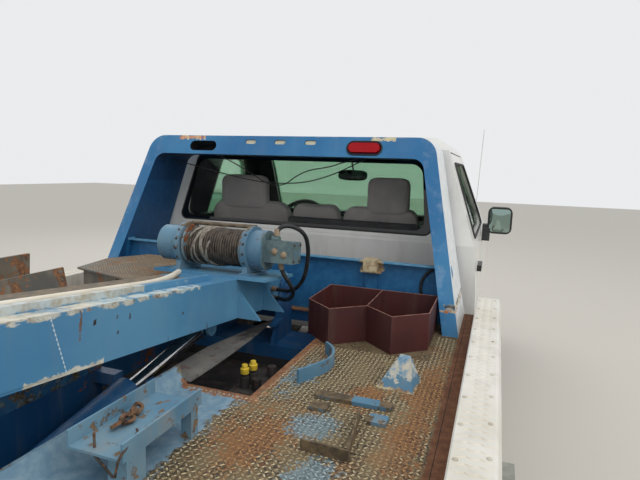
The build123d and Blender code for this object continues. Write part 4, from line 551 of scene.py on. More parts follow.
# lines round the rear window: half width, half height, corner, how much narrower the top is, and how
# proud. The band's inner line lies 11 mm lower along the panel.
BAND_IN = (0.712, 0.175, 0.06, 0.03, 0.0012)
BAND_OUT = (0.745, 0.212, 0.05, 0.052, 0.0012)
BAND_DROP = np.array([-0.245 * 0.011, 0.0, -0.011])
FRAME_IN = (0.736, 0.206, 0.045, 0.054, 0.0032)
FRAME_OUT = (0.782, 0.229, 0.05, 0.022, 0.0032)
SEAL_LINE = (0.735, 0.205, 0.045, 0.054, 0.003)
REAR_BEAD_R = 0.0045
rear_band = flat_ring("rear_window_band", window_line(*BAND_IN) + BAND_DROP, window_line(*BAND_OUT), 0.001)
rear_band.data.materials.append(band_black)
rear_frame = flat_ring("rear_window_frame", window_line(*FRAME_IN), window_line(*FRAME_OUT), 0.0028)
rear_frame.data.materials.append(cab_white)
rear_seal = tube_along("rear_window_seal", window_line(*SEAL_LINE), REAR_BEAD_R, closed=True,
                       reference=(1.0, 0.0, 0.0))
rear_seal.data.materials.append(seal_rubber)
for piece, paint in ((rear_band, "black_trim"), (rear_frame, "white_paint"), (rear_seal, "black_trim")):
    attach(piece, "chassis")

# the windscreen's bead: half widths at its base and top, its two edges and its corners
SCREEN_BASE = (1.371, 1.350)
SCREEN_TOP = (0.927, 1.848)
SCREEN_HALF = (0.728, 0.643)
SCREEN_BEAD_R = 0.009
screen_y, screen_up = rounded_loop(1.0, 1.0, 0.10)
screen_half = np.interp(screen_up, (-1, 1), SCREEN_HALF)
screen_x, screen_z = (np.interp(screen_up, (-1, 1), ends) for ends in zip(SCREEN_BASE, SCREEN_TOP))
screen_line = np.stack([screen_x + 0.003, screen_y * screen_half, screen_z + 0.003], -1)
screen_seal = tube_along("windscreen_seal", screen_line, SCREEN_BEAD_R, closed=True,
                         reference=(1.0, 0.0, 0.9))
screen_seal.data.materials.append(seal_rubber)
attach(screen_seal, "chassis")

# a bead round each door's window: its corners forward and up, and how the door's side leans in
DOOR_WINDOW = ((0.091, 1.343), (0.147, 1.752), (0.804, 1.752), (1.094, 1.417), (1.094, 1.343))
DOOR_SIDE = 1.4404
DOOR_LEAN = 0.341
WINDOW_CORNER = 0.028
DOOR_BEAD_R = 0.0065


def cut_corners(corners, cut):
    """Points round a polygon, each corner replaced by four points of a curve that starts and ends cut
    away from it."""
    corners = np.asarray(corners, float)
    before, after = np.roll(corners, 1, 0) - corners, np.roll(corners, -1, 0) - corners
    before, after = (arm / np.linalg.norm(arm, axis=1, keepdims=True) for arm in (before, after))
    share = np.array([1.0, 0.62, 0.30, 0.12])[:, None, None]
    eased = corners + cut * (share * before + share[::-1] * after)
    return eased.transpose(1, 0, 2).reshape(-1, 2)


for side_name, side in (("left", 1), ("right", -1)):
    line = cut_corners(DOOR_WINDOW, WINDOW_CORNER)
    path = np.stack([line[:, 0], side * (DOOR_SIDE - DOOR_LEAN * line[:, 1] + 0.001), line[:, 1]], -1)
    made = tube_along(f"door_seal_{side_name}", path, DOOR_BEAD_R, sides=8, closed=True,
                      reference=(0.0, 1.0, 0.0))
    made.data.materials.append(seal_rubber)
    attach(made, f"door_{side_name}")

# the outside mirrors' glass: a slightly crowned plate in each head's rear face, by share of its outline
# and how far it stands proud
MIRROR_MIDDLE = (0.8585, 1.1085, 1.385)
MIRROR_HALF = (0.066, 0.078)
MIRROR_CORNER = 0.022
MIRROR_CROWN = ((0.3, 0.0022), (0.7, 0.0018), (0.97, 0.0010), (1.0, 0.0004), (1.0, -0.0006))


def dished(name, loops):
    """A closed skin through loops of points, each one ring: the first and the last are drawn in to a
    point."""
    rings = [np.broadcast_to(loops[0].mean(0), loops[0].shape)] + list(loops)
    rings.append(np.broadcast_to(loops[-1].mean(0), loops[-1].shape))
    return grid_mesh(name, np.stack(rings), closed_columns=True)


mirror_bright, tree, shader, place = start_finish("mirror_bright", 0.04, 1.0)
shader.inputs["Base Color"].default_value = seen(150, 172, 166)
mirror_y, mirror_z = rounded_loop(*MIRROR_HALF, MIRROR_CORNER)
for side_name, side in (("left", 1), ("right", -1)):
    loops = [np.stack([np.full_like(mirror_y, MIRROR_MIDDLE[0] - proud),
                       side * (MIRROR_MIDDLE[1] + share * mirror_y), MIRROR_MIDDLE[2] + share * mirror_z], -1)
             for share, proud in MIRROR_CROWN]
    made = dished(f"mirror_glass_{side_name}", loops)
    made.data.materials.append(mirror_bright)
    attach(made, f"door_{side_name}")

# Seat: three padded backs and cushions in grey cloth on a plain base, with two head rests. Each pad is
# foam under sewn cloth: crowned, rounder at its edges, with sewn channels in the wide ones.

# each place: its middle across the cab and half its width, then its head rest's middle and height, if it
# has one, and half the head rest's width
CLOTH_SEATS = (("right", -0.440, 0.232, (-0.488, 1.548), 0.126), ("middle", -0.040, 0.155, None, 0.0),
               ("left", 0.405, 0.275, (0.440, 1.535), 0.165))


def pad(name, middle, half, axes, crown, channels, power=0.34):
    """A rounded block, from a ball whose sines and cosines are raised to a small power, crowned at its
    face by crown times how far each point is from the rim, and sunk along the sewn channels."""
    around = np.linspace(0, 2 * np.pi, 73)[:-1]
    up = np.linspace(-np.pi / 2, np.pi / 2, 41)

    def bent(value):
        return np.where(np.abs(value) < 1e-9, 0.0, np.sign(value) * np.abs(value) ** power)

    a, b = np.meshgrid(around, up, indexing="ij")
    x, y, z = bent(np.cos(a)) * bent(np.cos(b)), bent(np.sin(a)) * bent(np.cos(b)), bent(np.sin(b))
    swell = np.clip(1 - x ** 2, 0, 1) * np.clip(1 - y ** 2, 0, 1)
    sewn = sum(np.exp(-((x * half[0] - line) / 0.009) ** 2) for line in channels)
    pulled = 1 - 0.05 * (1 - np.abs(x)) * (np.abs(y) > 0.85) - 0.04 * (1 - np.abs(y)) * (np.abs(x) > 0.85)
    face = np.where(z > 0, z * half[2] + crown * swell - 0.012 * sewn * (z > 0.5), z * half[2])
    local = np.stack([x * half[0] * pulled, y * half[1] * pulled, face], -1)
    points = np.asarray(middle) + local @ np.asarray(axes, float)
    return grid_mesh(name, points, closed_rows=True, sharp=1.5)


def bands(tree, place, scale, direction):
    """A wave that rises from 0 to 1 and falls again along an axis, more often with a larger scale."""
    return add_node(tree, "ShaderNodeTexWave", [("Vector", place)], [("Scale", scale)],
                    bands_direction=direction).outputs["Fac"]


seat_cloth, tree, shader, place = start_finish("seat_cloth", 0.9)
weave = sums(tree, "MULTIPLY", bands(tree, place, 240.0, "Y"), bands(tree, place, 240.0, "Z"))
cloth_tone = shade(tree, place, 5.0, 0.4, 0.7, seen(186, 180, 176), seen(208, 202, 196))
woven = over(tree, sums(tree, "MULTIPLY", weave, 0.35), cloth_tone, seen(134, 130, 126))
tree.links.new(woven, shader.inputs["Base Color"])
shader.inputs["Sheen Weight"].default_value = 0.3
raise_by(tree, shader, weave, 0.0006)
BACK_AXES = [(0, 1, 0), (-0.165, 0, 0.986), (0.986, 0, 0.165)]
CUSHION_AXES = [(0, 1, 0), (-0.997, 0, -0.08), (-0.08, 0, 0.997)]
REST_AXES = [(0, 1, 0), (-0.03, 0, 1), (1, 0, 0.03)]
for place_name, middle_y, half_y, rest_at, rest_half in CLOTH_SEATS:
    sewn = [-0.16, 0.0, 0.16] if half_y > 0.2 else []
    pieces = [pad(f"seat_back_{place_name}", (0.192, middle_y, 1.205), (half_y, 0.285, 0.052), BACK_AXES,
                  0.018, sewn),
              pad(f"seat_cushion_{place_name}", (0.462, middle_y, 0.965), (half_y, 0.25, 0.072), CUSHION_AXES,
                  0.014, sewn)]
    if rest_at:
        pieces.append(pad(f"head_rest_{place_name}", (0.132, *rest_at), (rest_half, 0.112, 0.043), REST_AXES,
                          0.008, [], 0.46))
    for piece in pieces:
        piece.data.materials.append(seat_cloth)
        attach(piece, "chassis")
        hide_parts("seat")

# the seat's plinth, a moulded box with a toe recess, and the inside mirror on its stalk
PLINTH = ((0.240, 0.791), (0.630, 0.791), (0.645, 0.800), (0.649, 0.860), (0.640, 0.885), (0.228, 0.885),
          (0.219, 0.875), (0.219, 0.800))
PLINTH_Y = (-0.640, 0.680)
grained_dark = drifting("grained_dark", 0.65, 8.0, 0.4, 0.7, seen(40, 40, 42), seen(58, 57, 57),
                        grain=(380.0, 2.0, 0.0005))


def closed_prism(name, profile, ends, drawn=0.004):
    """A profile carried along Y with its edge drawn in at both ends, by the same length on either side
    of the corner, and closed there."""
    profile = np.asarray(profile, float)
    middle = profile.mean(0)
    small = middle + (profile - middle) * (1 - drawn / np.abs(profile - middle).max())
    point = np.broadcast_to(middle, profile.shape)
    stations = [(point, ends[0]), (small, ends[0]), (profile, ends[0] + drawn),
                (profile, ends[1] - drawn), (small, ends[1]), (point, ends[1])]
    rows = np.stack([np.stack([line[:, 0], np.full(len(line), y), line[:, 1]], -1) for line, y in stations])
    return grid_mesh(name, rows, closed_columns=True, sharp=0.5)


plinth = closed_prism("seat_plinth", PLINTH, PLINTH_Y)
plinth.data.materials.append(grained_dark)
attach(plinth, "chassis")
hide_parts("seat")
mirror_head = pad("inside_mirror", (0.930, -0.040, 1.655), (0.118, 0.042, 0.014),
                  [(0, 1, 0), (0.1, 0, 1), (-1, 0, 0.1)], 0.002, [], 0.72)
STALK_ROUTE = [(0.938, -0.040, 1.672), (0.948, -0.036, 1.700), (0.966, -0.022, 1.745), (0.972, -0.020, 1.762)]
mirror_stalk = tube_along("inside_mirror_stalk", STALK_ROUTE, 0.006, sides=8, reference=(0.0, 1.0, 0.0))
# the inside mirror's face is a plain grey-green finish with no metal: a painted reflection
mirror_painted_reflection = drifting("mirror_painted_reflection", 0.25, 14.0, 0.45, 0.6, seen(92, 124, 108), seen(52, 66, 62))
# the moulded panel behind the seats, its top edge rolled over
REAR_TRIM = ((-0.020, 1.290), (0.020, 1.290), (0.028, 1.300), (0.034, 1.388), (0.030, 1.402), (0.018, 1.410),
             (0.000, 1.410), (-0.012, 1.400))
rear_trim = closed_prism("rear_trim_panel", REAR_TRIM, (-0.690, 0.080))
for piece, finish in ((mirror_head, mirror_painted_reflection), (mirror_stalk, grained_dark), (rear_trim, grained_dark)):
    piece.data.materials.append(finish)
    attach(piece, "chassis")

# Deck: sheet tread plate, blue-grey paint mostly worn away to orange-brown rust, with a smooth
# blue strip behind the opening and a bare brown strip along each rail.
FOOT_X = -0.601
DECK_Z = 1.0
BODY_REAR_X = -2.581
BODY_FRONT_X = -0.201
HOLE_REAR_X = -1.441
HOLE_FRONT_X = -0.491
STRIP_Y = 0.969
LUG_PITCH = 0.0155
LUG_LONG = 0.0072
LUG_WIDE = 0.0024
LUG_HIGH = 0.0013
# ragged ovals of wear on the deck: middle x, middle y, half length, half width
BLUE_LEFT = ((-1.72, -0.26, 0.40, 0.13), (-1.24, -0.50, 0.16, 0.06), (-1.75, -0.72, 0.10, 0.07),
             (-1.52, -0.66, 0.08, 0.08), (-1.9, 0.35, 0.7, 0.25), (-2.30, 0.60, 0.30, 0.20),
             (-2.20, -0.60, 0.16, 0.20), (-1.00, 0.80, 0.3, 0.1))
ORANGE_RUST = ((-1.64, -0.54, 0.20, 0.13), (-1.34, -0.92, 0.46, 0.065), (-1.30, -0.74, 0.10, 0.06),
               (-1.95, -0.75, 0.16, 0.12), (-2.25, -0.30, 0.18, 0.16), (-1.9, 0.75, 0.3, 0.18),
               (-1.2, 0.55, 0.2, 0.1))
SMOOTH_STRIP = (-0.385, -0.150)


def stamped(name, points, faces, middles, turns):
    """The same small shape put at many places, each turned about its own upright axis: every copy's
    points are the shape's points times the turn's cosine and sine, plus its place."""
    points, middles, turns = (np.asarray(part, float) for part in (points, middles, turns))
    cosine, sine = np.cos(turns)[:, None], np.sin(turns)[:, None]
    placed_x = points[None, :, 0] * cosine - points[None, :, 1] * sine
    placed_y = points[None, :, 0] * sine + points[None, :, 1] * cosine
    placed_z = np.broadcast_to(points[None, :, 2], placed_x.shape)
    placed = (np.stack([placed_x, placed_y, placed_z], -1) + middles[:, None, :]).reshape(-1, 3)
    faces = np.asarray(faces)[None] + len(points) * np.arange(len(middles))[:, None, None]
    return smooth_mesh(name, placed, faces.reshape(-1, faces.shape[-1]), sharp=0.3)


LUG_POINTS = [(-LUG_LONG, 0, 0), (-0.5 * LUG_LONG, -LUG_WIDE, 0), (0.5 * LUG_LONG, -LUG_WIDE, 0),
              (LUG_LONG, 0, 0), (0.5 * LUG_LONG, LUG_WIDE, 0), (-0.5 * LUG_LONG, LUG_WIDE, 0),
              (-0.6 * LUG_LONG, 0, LUG_HIGH), (0.6 * LUG_LONG, 0, LUG_HIGH)]
LUG_FACES = [(0, 1, 6), (1, 2, 7), (1, 7, 6), (2, 3, 7), (3, 4, 7), (4, 5, 6), (4, 6, 7), (5, 0, 6)]


def lug_places(x0, x1, y0, y1, z):
    """The crossed rows of a tread plate: a square lattice whose lugs turn left and right by turns."""
    column, row = np.meshgrid(np.arange(x0, x1, LUG_PITCH), np.arange(y0, y1, LUG_PITCH), indexing="ij")
    odd = (np.rint((column - x0) / LUG_PITCH) + np.rint((row - y0) / LUG_PITCH)) % 2
    places = np.stack([column.ravel(), row.ravel(), np.full(column.size, z)], -1)
    return places, np.where(odd.ravel() > 0, 0.72, -0.72)


def inside(places, x0, x1, y0, y1):
    """Which places lie within a rectangle."""
    return (places[:, 0] > x0) & (places[:, 0] < x1) & (places[:, 1] > y0) & (places[:, 1] < y1)


def patches(tree, place, spots):
    """A mask that is 1 in ragged ovals: one less the distance from each middle over its half sizes."""
    ragged = between(tree, cloud(tree, place, 7.0, 5.0), 0.3, 0.7, -0.45, 0.45)
    speck = between(tree, cloud(tree, place, 70.0, 3.0), 0.38, 0.62, -0.35, 0.35)
    found = None
    for x, y, long, wide in spots:
        scaled = add_node(tree, "ShaderNodeMapping", [("Vector", place)],
                          [("Location", (-x / long, -y / wide, 0.0)), ("Scale", (1 / long, 1 / wide, 0.0))])
        away = add_node(tree, "ShaderNodeVectorMath", [(0, scaled.outputs[0])], operation="LENGTH")
        reach = sums(tree, "SUBTRACT", 1.0, away.outputs["Value"])
        found = reach if found is None else sums(tree, "MAXIMUM", found, reach)
    return between(tree, sums(tree, "ADD", sums(tree, "ADD", found, ragged), speck), -0.05, 0.45)


def deck_finish(name, tones, lug):
    """Worn tread plate. Tones are two shades each for bare straw plate, orange rust and old blue paint.
    Fine noise picks between the two shades, coarse noise and ragged ovals between the three pairs."""
    made, tree, shader, place = start_finish(name, 0.78)
    fine = between(tree, cloud(tree, place, 110.0, 5.0), 0.44, 0.58)
    drift = between(tree, cloud(tree, place, 11.0, 5.0), 0.42, 0.62, 0.0, 0.7)
    straw, orange, blue = (over(tree, sums(tree, "MAXIMUM", fine, drift), *pair) for pair in tones)
    coarse = between(tree, cloud(tree, place, 5.0, 6.0), 0.52, 0.66, 0.0, 0.55)
    colour = over(tree, sums(tree, "MAXIMUM", patches(tree, place, ORANGE_RUST), coarse), straw, orange)
    speckled = between(tree, cloud(tree, place, 60.0, 5.0), 0.60, 0.66, 1.0, 0.25)
    painted = sums(tree, "MULTIPLY", patches(tree, place, BLUE_LEFT), speckled if not lug else 1.0)
    tree.links.new(over(tree, painted, colour, blue), shader.inputs["Base Color"])
    raise_by(tree, shader, cloud(tree, place, 90.0, 5.0), 0.0012)
    return made


PLATE_TONES = ((seen(60, 50, 38), seen(124, 108, 78)), (seen(78, 52, 34), seen(140, 100, 60)),
               (seen(72, 84, 88), seen(122, 138, 140)))
LUG_TONES = ((seen(206, 192, 156), seen(134, 118, 86)), (seen(190, 148, 94), seen(124, 86, 52)),
             (seen(170, 184, 186), seen(108, 126, 132)))
deck_plate = deck_finish("deck_plate", PLATE_TONES, False)
deck_lug = deck_finish("deck_lug", LUG_TONES, True)
repaint(deck_plate, walls_of((-2.60, -1.46), SMOOTH_STRIP), seen(104, 136, 156), seen(128, 154, 168), 0.6,
        soft=0.004, ragged=0.012, lumps=30.0, fold=False)
repaint(deck_plate, walls_of((-2.60, -1.30), (0.150, 0.62)), seen(40, 96, 138), seen(62, 116, 152), 0.6,
        soft=0.004, ragged=0.02, lumps=24.0, fold=False)
repaint(deck_plate, walls_of((-1.475, -0.46), (-0.05, 0.452), (0.9, 1.01)), seen(124, 82, 54),
        seen(150, 108, 76), 0.8, soft=0.004, ragged=0.014, lumps=40.0)
repaint(deck_plate, [((0, -1, 0), -STRIP_Y)], seen(98, 60, 36), seen(122, 80, 52), 0.85, soft=0.003,
        ragged=0.004, lumps=40.0)
repaint(deck_plate, walls_of(y=(0.9835, 0.9862)), seen(44, 30, 22), seen(70, 44, 30), 0.9, soft=0.0006,
        lumps=40.0)
dress(deck_plate, "deck")
places, turns = lug_places(BODY_REAR_X + 0.02, BODY_FRONT_X - 0.01, -STRIP_Y + 0.012, STRIP_Y - 0.012, DECK_Z)
# where the plate has no lugs: the slot, the opening, both smooth strips, under the bins, in the arch
# and along its feet
PLAIN_PATCHES = ((BODY_REAR_X, HOLE_REAR_X + 0.02, -0.21, 0.21),
                 (HOLE_REAR_X - 0.015, HOLE_FRONT_X + 0.015, -0.433, 0.433),
                 (BODY_REAR_X, HOLE_REAR_X - 0.03, *SMOOTH_STRIP), (BODY_REAR_X, -1.28, 0.14, 0.64),
                 (FOOT_X - 0.33, FOOT_X + 0.1, -0.88, -0.36), (FOOT_X + 0.10, BODY_FRONT_X, -0.99, 0.99),
                 (FOOT_X - 0.03, BODY_FRONT_X, 0.87, 0.99), (FOOT_X - 0.03, BODY_FRONT_X, -0.99, -0.87))
bare = np.any([inside(places, *patch) for patch in PLAIN_PATCHES], axis=0)
deck_lugs = stamped("deck_lugs", LUG_POINTS, LUG_FACES, places[~bare], turns[~bare])
deck_lugs.data.materials.append(deck_lug)
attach(deck_lugs, "chassis")

# the loose tread plate lid of the left tray, with the same lugs inside its outline
LID_CORNERS = [(-1.067, 0.305), (-0.691, 0.305), (-0.491, 0.450), (-0.491, 0.700), (-0.691, 0.800),
               (-0.941, 0.752)]
LID_EDGE = 0.012
LID_Z = 1.2


def within(places, corners, edge):
    """Which places lie inside a convex polygon, at least edge from every side."""
    found = np.ones(len(places), bool)
    for (x0, y0), (x1, y1) in zip(corners, corners[1:] + corners[:1]):
        turned_by = (x1 - x0) * (places[:, 1] - y0) - (y1 - y0) * (places[:, 0] - x0)
        found &= turned_by / np.hypot(x1 - x0, y1 - y0) > edge
    return found


lid_places, lid_turns = lug_places(-1.067, -0.491, 0.305, 0.800, LID_Z)
kept = within(lid_places, LID_CORNERS, LID_EDGE)
LID_TONES = ((seen(176, 158, 128), seen(148, 120, 88)), (seen(160, 100, 58), seen(130, 84, 52)),
             (seen(150, 150, 140), seen(140, 130, 116)))
lid_rust = deck_finish("lid_rust", LID_TONES, True)
lid_lugs = stamped("lid_lugs", LUG_POINTS, LUG_FACES, lid_places[kept], lid_turns[kept])
lid_lugs.data.materials.append(lid_rust)
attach(lid_lugs, "chassis")

# Rail caps: cream tread sheet bolted along the tops of both sides. Its raised ribs run across in
# three shallow bows a row, and a bolt head stands near each edge about every 160 mm.
CAP_IN_Y = 1.030
CAP_OUT_Y = 1.119
CAP_Z = 1.093
BOW_PITCH = 0.031
BOW_DEEP = 0.0075
RIB_HALF = 0.0026
RIB_HIGH = 0.0021
BOLT_X = (-2.50, -2.33, -2.17, -2.02, -1.86, -1.71, -1.55, -1.39, -1.23, -1.07, -0.91, -0.75, -0.59, -0.43,
          -0.28)
BOLT_ROWS = ((0.0, 1.040), (0.03, 1.109))


def scallop_ribs(name, side):
    """Rows of ribs across a cap: along each row the rib bows back by the size of a sine, three bows a
    row, and its section is a low triangle."""
    rows = np.arange(BODY_REAR_X + 0.025, BODY_FRONT_X - 0.015, BOW_PITCH)
    across = np.linspace(0.04, 0.96, 34)
    bow = -BOW_DEEP * np.abs(np.sin(3 * np.pi * across)) ** 0.8
    y = side * (CAP_IN_Y + (CAP_OUT_Y - CAP_IN_Y) * across)
    fade = np.minimum(1, 6 * np.minimum(across - 0.04, 0.96 - across) + 0.05)
    centre = np.stack(np.broadcast_arrays(rows[:, None] + bow, y[None, :], np.full((1, 1), CAP_Z)), -1)
    section = np.array([(-RIB_HALF, -0.0003), (0.0, RIB_HIGH), (RIB_HALF, -0.0003)])
    points = centre[:, :, None, :] + np.stack([np.broadcast_to(section[:, 0], (len(across), 3)),
                                               np.zeros((len(across), 3)), fade[:, None] * section[:, 1]], -1)
    count = len(across)
    one = np.arange(count * 3).reshape(count, 3)
    strip = np.stack([one[:-1, :2], one[1:, :2], one[1:, 1:], one[:-1, 1:]], -1).reshape(-1, 4)
    if side > 0:
        strip = strip[:, ::-1]
    faces = (strip[None] + count * 3 * np.arange(len(rows))[:, None, None]).reshape(-1, 4)
    return smooth_mesh(name, points.reshape(-1, 3), faces, sharp=0.5)


def bolt_heads(name, middles, radius=0.0065, high=0.0030):
    """Low domed heads, twelve-sided: two rings and a top point each, all worked out at once."""
    turn = 2 * np.pi * np.arange(12) / 12
    rings = [np.stack([r * np.cos(turn), r * np.sin(turn), np.full(12, z)], -1)
             for r, z in ((radius, -0.0005), (radius, 0.4 * high), (0.62 * radius, high))]
    points = np.vstack(rings + [np.array([[0.0, 0.0, high * 1.05]])])
    ring = np.arange(12)
    after = (ring + 1) % 12
    faces = [(a + 12 * k, b + 12 * k, b + 12 * (k + 1)) for k in (0, 1) for a, b in zip(ring, after)]
    faces += [(a + 12 * k, b + 12 * (k + 1), a + 12 * (k + 1)) for k in (0, 1) for a, b in zip(ring, after)]
    faces += [(a + 24, b + 24, 36) for a, b in zip(ring, after)]
    return stamped(name, points, faces, middles, np.zeros(len(middles)))


cap_cream = worn_paint("cap_cream", seen(226, 220, 204), seen(216, 206, 184), 0.67, 12.0, 0.5, dust=0.25,
                       rust=(seen(110, 84, 60), seen(186, 150, 104)),
                       edges=[((0.0, 1.0, 0.0), 1.027, 0.006), ((0.0, 1.0, 0.0), -1.027, 0.006)])
bolt_grey = worn_paint("bolt_grey", seen(206, 200, 186), seen(176, 166, 148), 0.60, 60.0, 0.5)
for side_name, side in (("left", 1), ("right", -1)):
    ribs = scallop_ribs(f"cap_ribs_{side_name}", side)
    ribs.data.materials.append(cap_cream)
    staggered = [(x + shift, side * y, CAP_Z) for shift, y in BOLT_ROWS for x in BOLT_X]
    bolts = bolt_heads(f"cap_bolts_{side_name}", staggered)
    bolts.data.materials.append(bolt_grey)
    for piece in (ribs, bolts):
        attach(piece, "chassis")

# Well, sills and brackets under the deck: folded and welded plate in deep blue paint, scraped and
# dusty. With them go the rubber splash strip and the ports' caps in the well, and the rubber mud flaps
# behind the rear wheels.
well_blue = worn_paint("well_blue", seen(24, 78, 124), seen(38, 96, 142), 0.585, 6.0, 0.45, dust=0.25,
                       scratch=0.05)
dress(well_blue, "body_frame", "boom_well", "boom_mount", "lift_barrel")

# a dark rubber splash strip closes the gap in front of the valve pan, a dark sheet that keeps the
# opening under the deck in painted shade, and both tall ports have yellow caps
SPLASH = [(-0.7235, 0.782), (-0.7190, 0.782), (-0.7180, 0.826), (-0.7228, 0.826)]
splash = closed_prism("splash_strip", SPLASH, (-0.371, 0.371))
splash.data.materials.append(grained_dark)
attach(splash, "chassis")
cap_yellow = worn_paint("cap_yellow", seen(238, 206, 66), seen(216, 180, 48), 0.62, 40.0, 0.4, dust=0.2)
CAP_PROFILE = ((0.0, 0.014), (0.0150, 0.014), (0.0162, 0.017), (0.0165, 0.034), (0.0115, 0.036),
               (0.0110, 0.046), (0.0095, 0.049), (0.0, 0.0495))
PORT_STEM = ((0.0, -0.004), (0.010, -0.004), (0.010, 0.012), (0.006, 0.014), (0.0, 0.0145))


def turned(name, profile, middle, sides=20, forward=False):
    """A profile of radii and heights spun about an upright axis, or about one that points forward."""
    turn = 2 * np.pi * np.arange(sides) / sides
    radius, up = np.array(profile, float).T
    points = np.stack([radius[:, None] * np.cos(turn), radius[:, None] * np.sin(turn),
                       np.broadcast_to(up[:, None], (len(up), sides))], -1)
    if forward:
        points = np.roll(points, 1, -1)
    return grid_mesh(name, points + np.asarray(middle), closed_columns=True, sharp=0.7)


for name, middle in (("port_cap_near", (-1.161, -0.250, 0.921)), ("port_cap_far", (-1.116, -0.262, 0.921))):
    for piece, finish in ((turned(f"{name}_stem", PORT_STEM, middle), grained_dark),
                          (turned(name, CAP_PROFILE, middle), cap_yellow)):
        piece.data.materials.append(finish)
        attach(piece, "chassis")
flap_rubber = drifting("flap_rubber", 0.7, 9.0, 0.42, 0.7, seen(30, 30, 30), seen(78, 72, 64),
                       grain=(120.0, 3.0, 0.0008))
dress(flap_rubber, "mud_flaps")

# Pylon: welded box arch, strong blue on its rear face and white on its sides and top, with a deep blue
# inner wrap. The top edge is chipped, three slots show cream paint, and the left lamp's slot is empty,
# its hollow painted near black as shade.
LEAN = 0.3265
SPLAY = 0.2167
SLOT_Y = (-0.1685, 0.0, 0.1685)
SLOT_UP = 0.824
SLOT_HALF = (0.0295, 0.0106)
SLOT_DEPTHS = (0.006, 0.010)
LAMP_MIDDLE = (-0.453, 0.800)
GROMMET_HALF = (0.0865, 0.0320)
GROMMET_R = 0.0045
pylon_blue = worn_paint("pylon_blue", seen(34, 108, 160), seen(54, 128, 176), 0.70, 7.0, 0.38, dust=0.08,
                        rust=(seen(84, 46, 34), seen(176, 120, 84)))
dress(pylon_blue, "pylon")
off_rear = ((-1, 0, LEAN), 0.9245)
in_arch = [off_rear, ((0, 1, SPLAY), 1.1232), ((0, 0, 1), 1.7585)]
SIDE_WHITE = (seen(222, 226, 226), seen(206, 210, 210))
WRAP_BLUE = (seen(14, 58, 100), seen(20, 70, 116))
SLOT_PAINTED_SHADE = (seen(12, 12, 18), seen(24, 24, 30))
repaint(pylon_blue, [off_rear, ((1, 0, -0.2), -0.394), ((0, -1, -SPLAY), -1.1245)], *SIDE_WHITE, 0.45,
        ragged=0.0015)
repaint(pylon_blue, [off_rear, ((0, 0, -1), -1.8525)], *SIDE_WHITE, 0.45, ragged=0.0015)
repaint(pylon_blue, in_arch + [((0, -1, -SPLAY), -1.1182)], *WRAP_BLUE, 0.5)
repaint(pylon_blue, in_arch + [((0, 0, -1), -1.60)], *WRAP_BLUE, 0.5)
# the lamp slots' hollows, near black on both sides: painted shade
repaint(pylon_blue, [off_rear] + walls_of(y=(0.365, 0.541), z=(1.765, 1.832)), *SLOT_PAINTED_SHADE, 0.8)
# the bulkhead's face and its lit top edge
for z, first, second in (((0.99, 1.268), seen(32, 98, 148), seen(44, 112, 160)),
                         ((1.268, 1.28), seen(84, 146, 184), seen(110, 160, 186))):
    repaint(pylon_blue, walls_of((-0.485, -0.43), (0.0, 0.92), z), first, second, 0.5)
rear_edge = walls_of((-0.70, -0.40), (-1.0, -0.85), (1.40, 1.507)) + [off_rear, ((0, 1, -SPLAY), -1.28)]
repaint(pylon_blue, rear_edge, seen(84, 142, 174), seen(66, 124, 164), 0.5, ragged=0.01, fold=False)
repaint(pylon_blue, walls_of((-0.53, -0.40), (-0.60, -0.49), (1.218, 1.292)), seen(206, 192, 158),
        seen(150, 120, 86), 0.7, ragged=0.008, lumps=50.0, fold=False)
# chipped paint: where across the arch, how high, first tone and second
CHIPS = (((-0.604, -0.485), (1.836, 1.853), seen(214, 206, 170), seen(190, 180, 150)),
         ((0.448, 0.612), (1.836, 1.853), seen(206, 110, 70), seen(216, 200, 160)),
         ((-0.98, -0.88), (1.096, 1.106), seen(206, 198, 170), seen(170, 112, 70)),
         ((-0.98, -0.90), (1.110, 1.124), seen(40, 40, 44), seen(210, 204, 180)))
for y, z, first, second in CHIPS:
    repaint(pylon_blue, walls_of(y=y, z=z), first, second, 0.7, soft=0.002, ragged=0.007, lumps=60.0,
            fold=False)


def on_rear_face(y, up, proud=0.0):
    """Points on the pylon's leaning rear face, from their distance across it and their height over the
    deck."""
    y, up, proud = np.broadcast_arrays(np.asarray(y, float), up, proud)
    out = np.array([-1.0, 0.0, LEAN]) / np.hypot(1.0, LEAN)
    return np.stack([FOOT_X + LEAN * up, y, DECK_Z + up], -1) + proud[..., None] * out


def oval(half_long, half_wide, steps=14):
    """Points round a stadium: two half circles whose middles lie half_long less half_wide from its own."""
    turn = np.linspace(-np.pi / 2, np.pi / 2, steps)
    first_half = np.stack([half_long - half_wide + half_wide * np.cos(turn), half_wide * np.sin(turn)], -1)
    return np.vstack([first_half, -first_half])


slot_cream = worn_paint("slot_cream", seen(206, 202, 178), seen(180, 170, 140), 0.58, 60.0, 0.6,
                        rust=(seen(84, 52, 34), seen(196, 150, 70)))
plate = oval(*SLOT_HALF)
for count, middle_y in enumerate(SLOT_Y):
    faces = [on_rear_face(middle_y + plate[:, 0], SLOT_UP + plate[:, 1], -deep) for deep in SLOT_DEPTHS]
    made = dished(f"slot_plate_{count}", faces)
    made.data.materials.append(slot_cream)
    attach(made, "chassis")
grommet_line = oval(*GROMMET_HALF)
grommet = tube_along("lamp_grommet", on_rear_face(LAMP_MIDDLE[0] + grommet_line[:, 0],
                                                  LAMP_MIDDLE[1] + grommet_line[:, 1], 0.001),
                     GROMMET_R, closed=True, reference=(1.0, 0.0, 0.0))
grommet.data.materials.append(seal_rubber)
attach(grommet, "chassis")

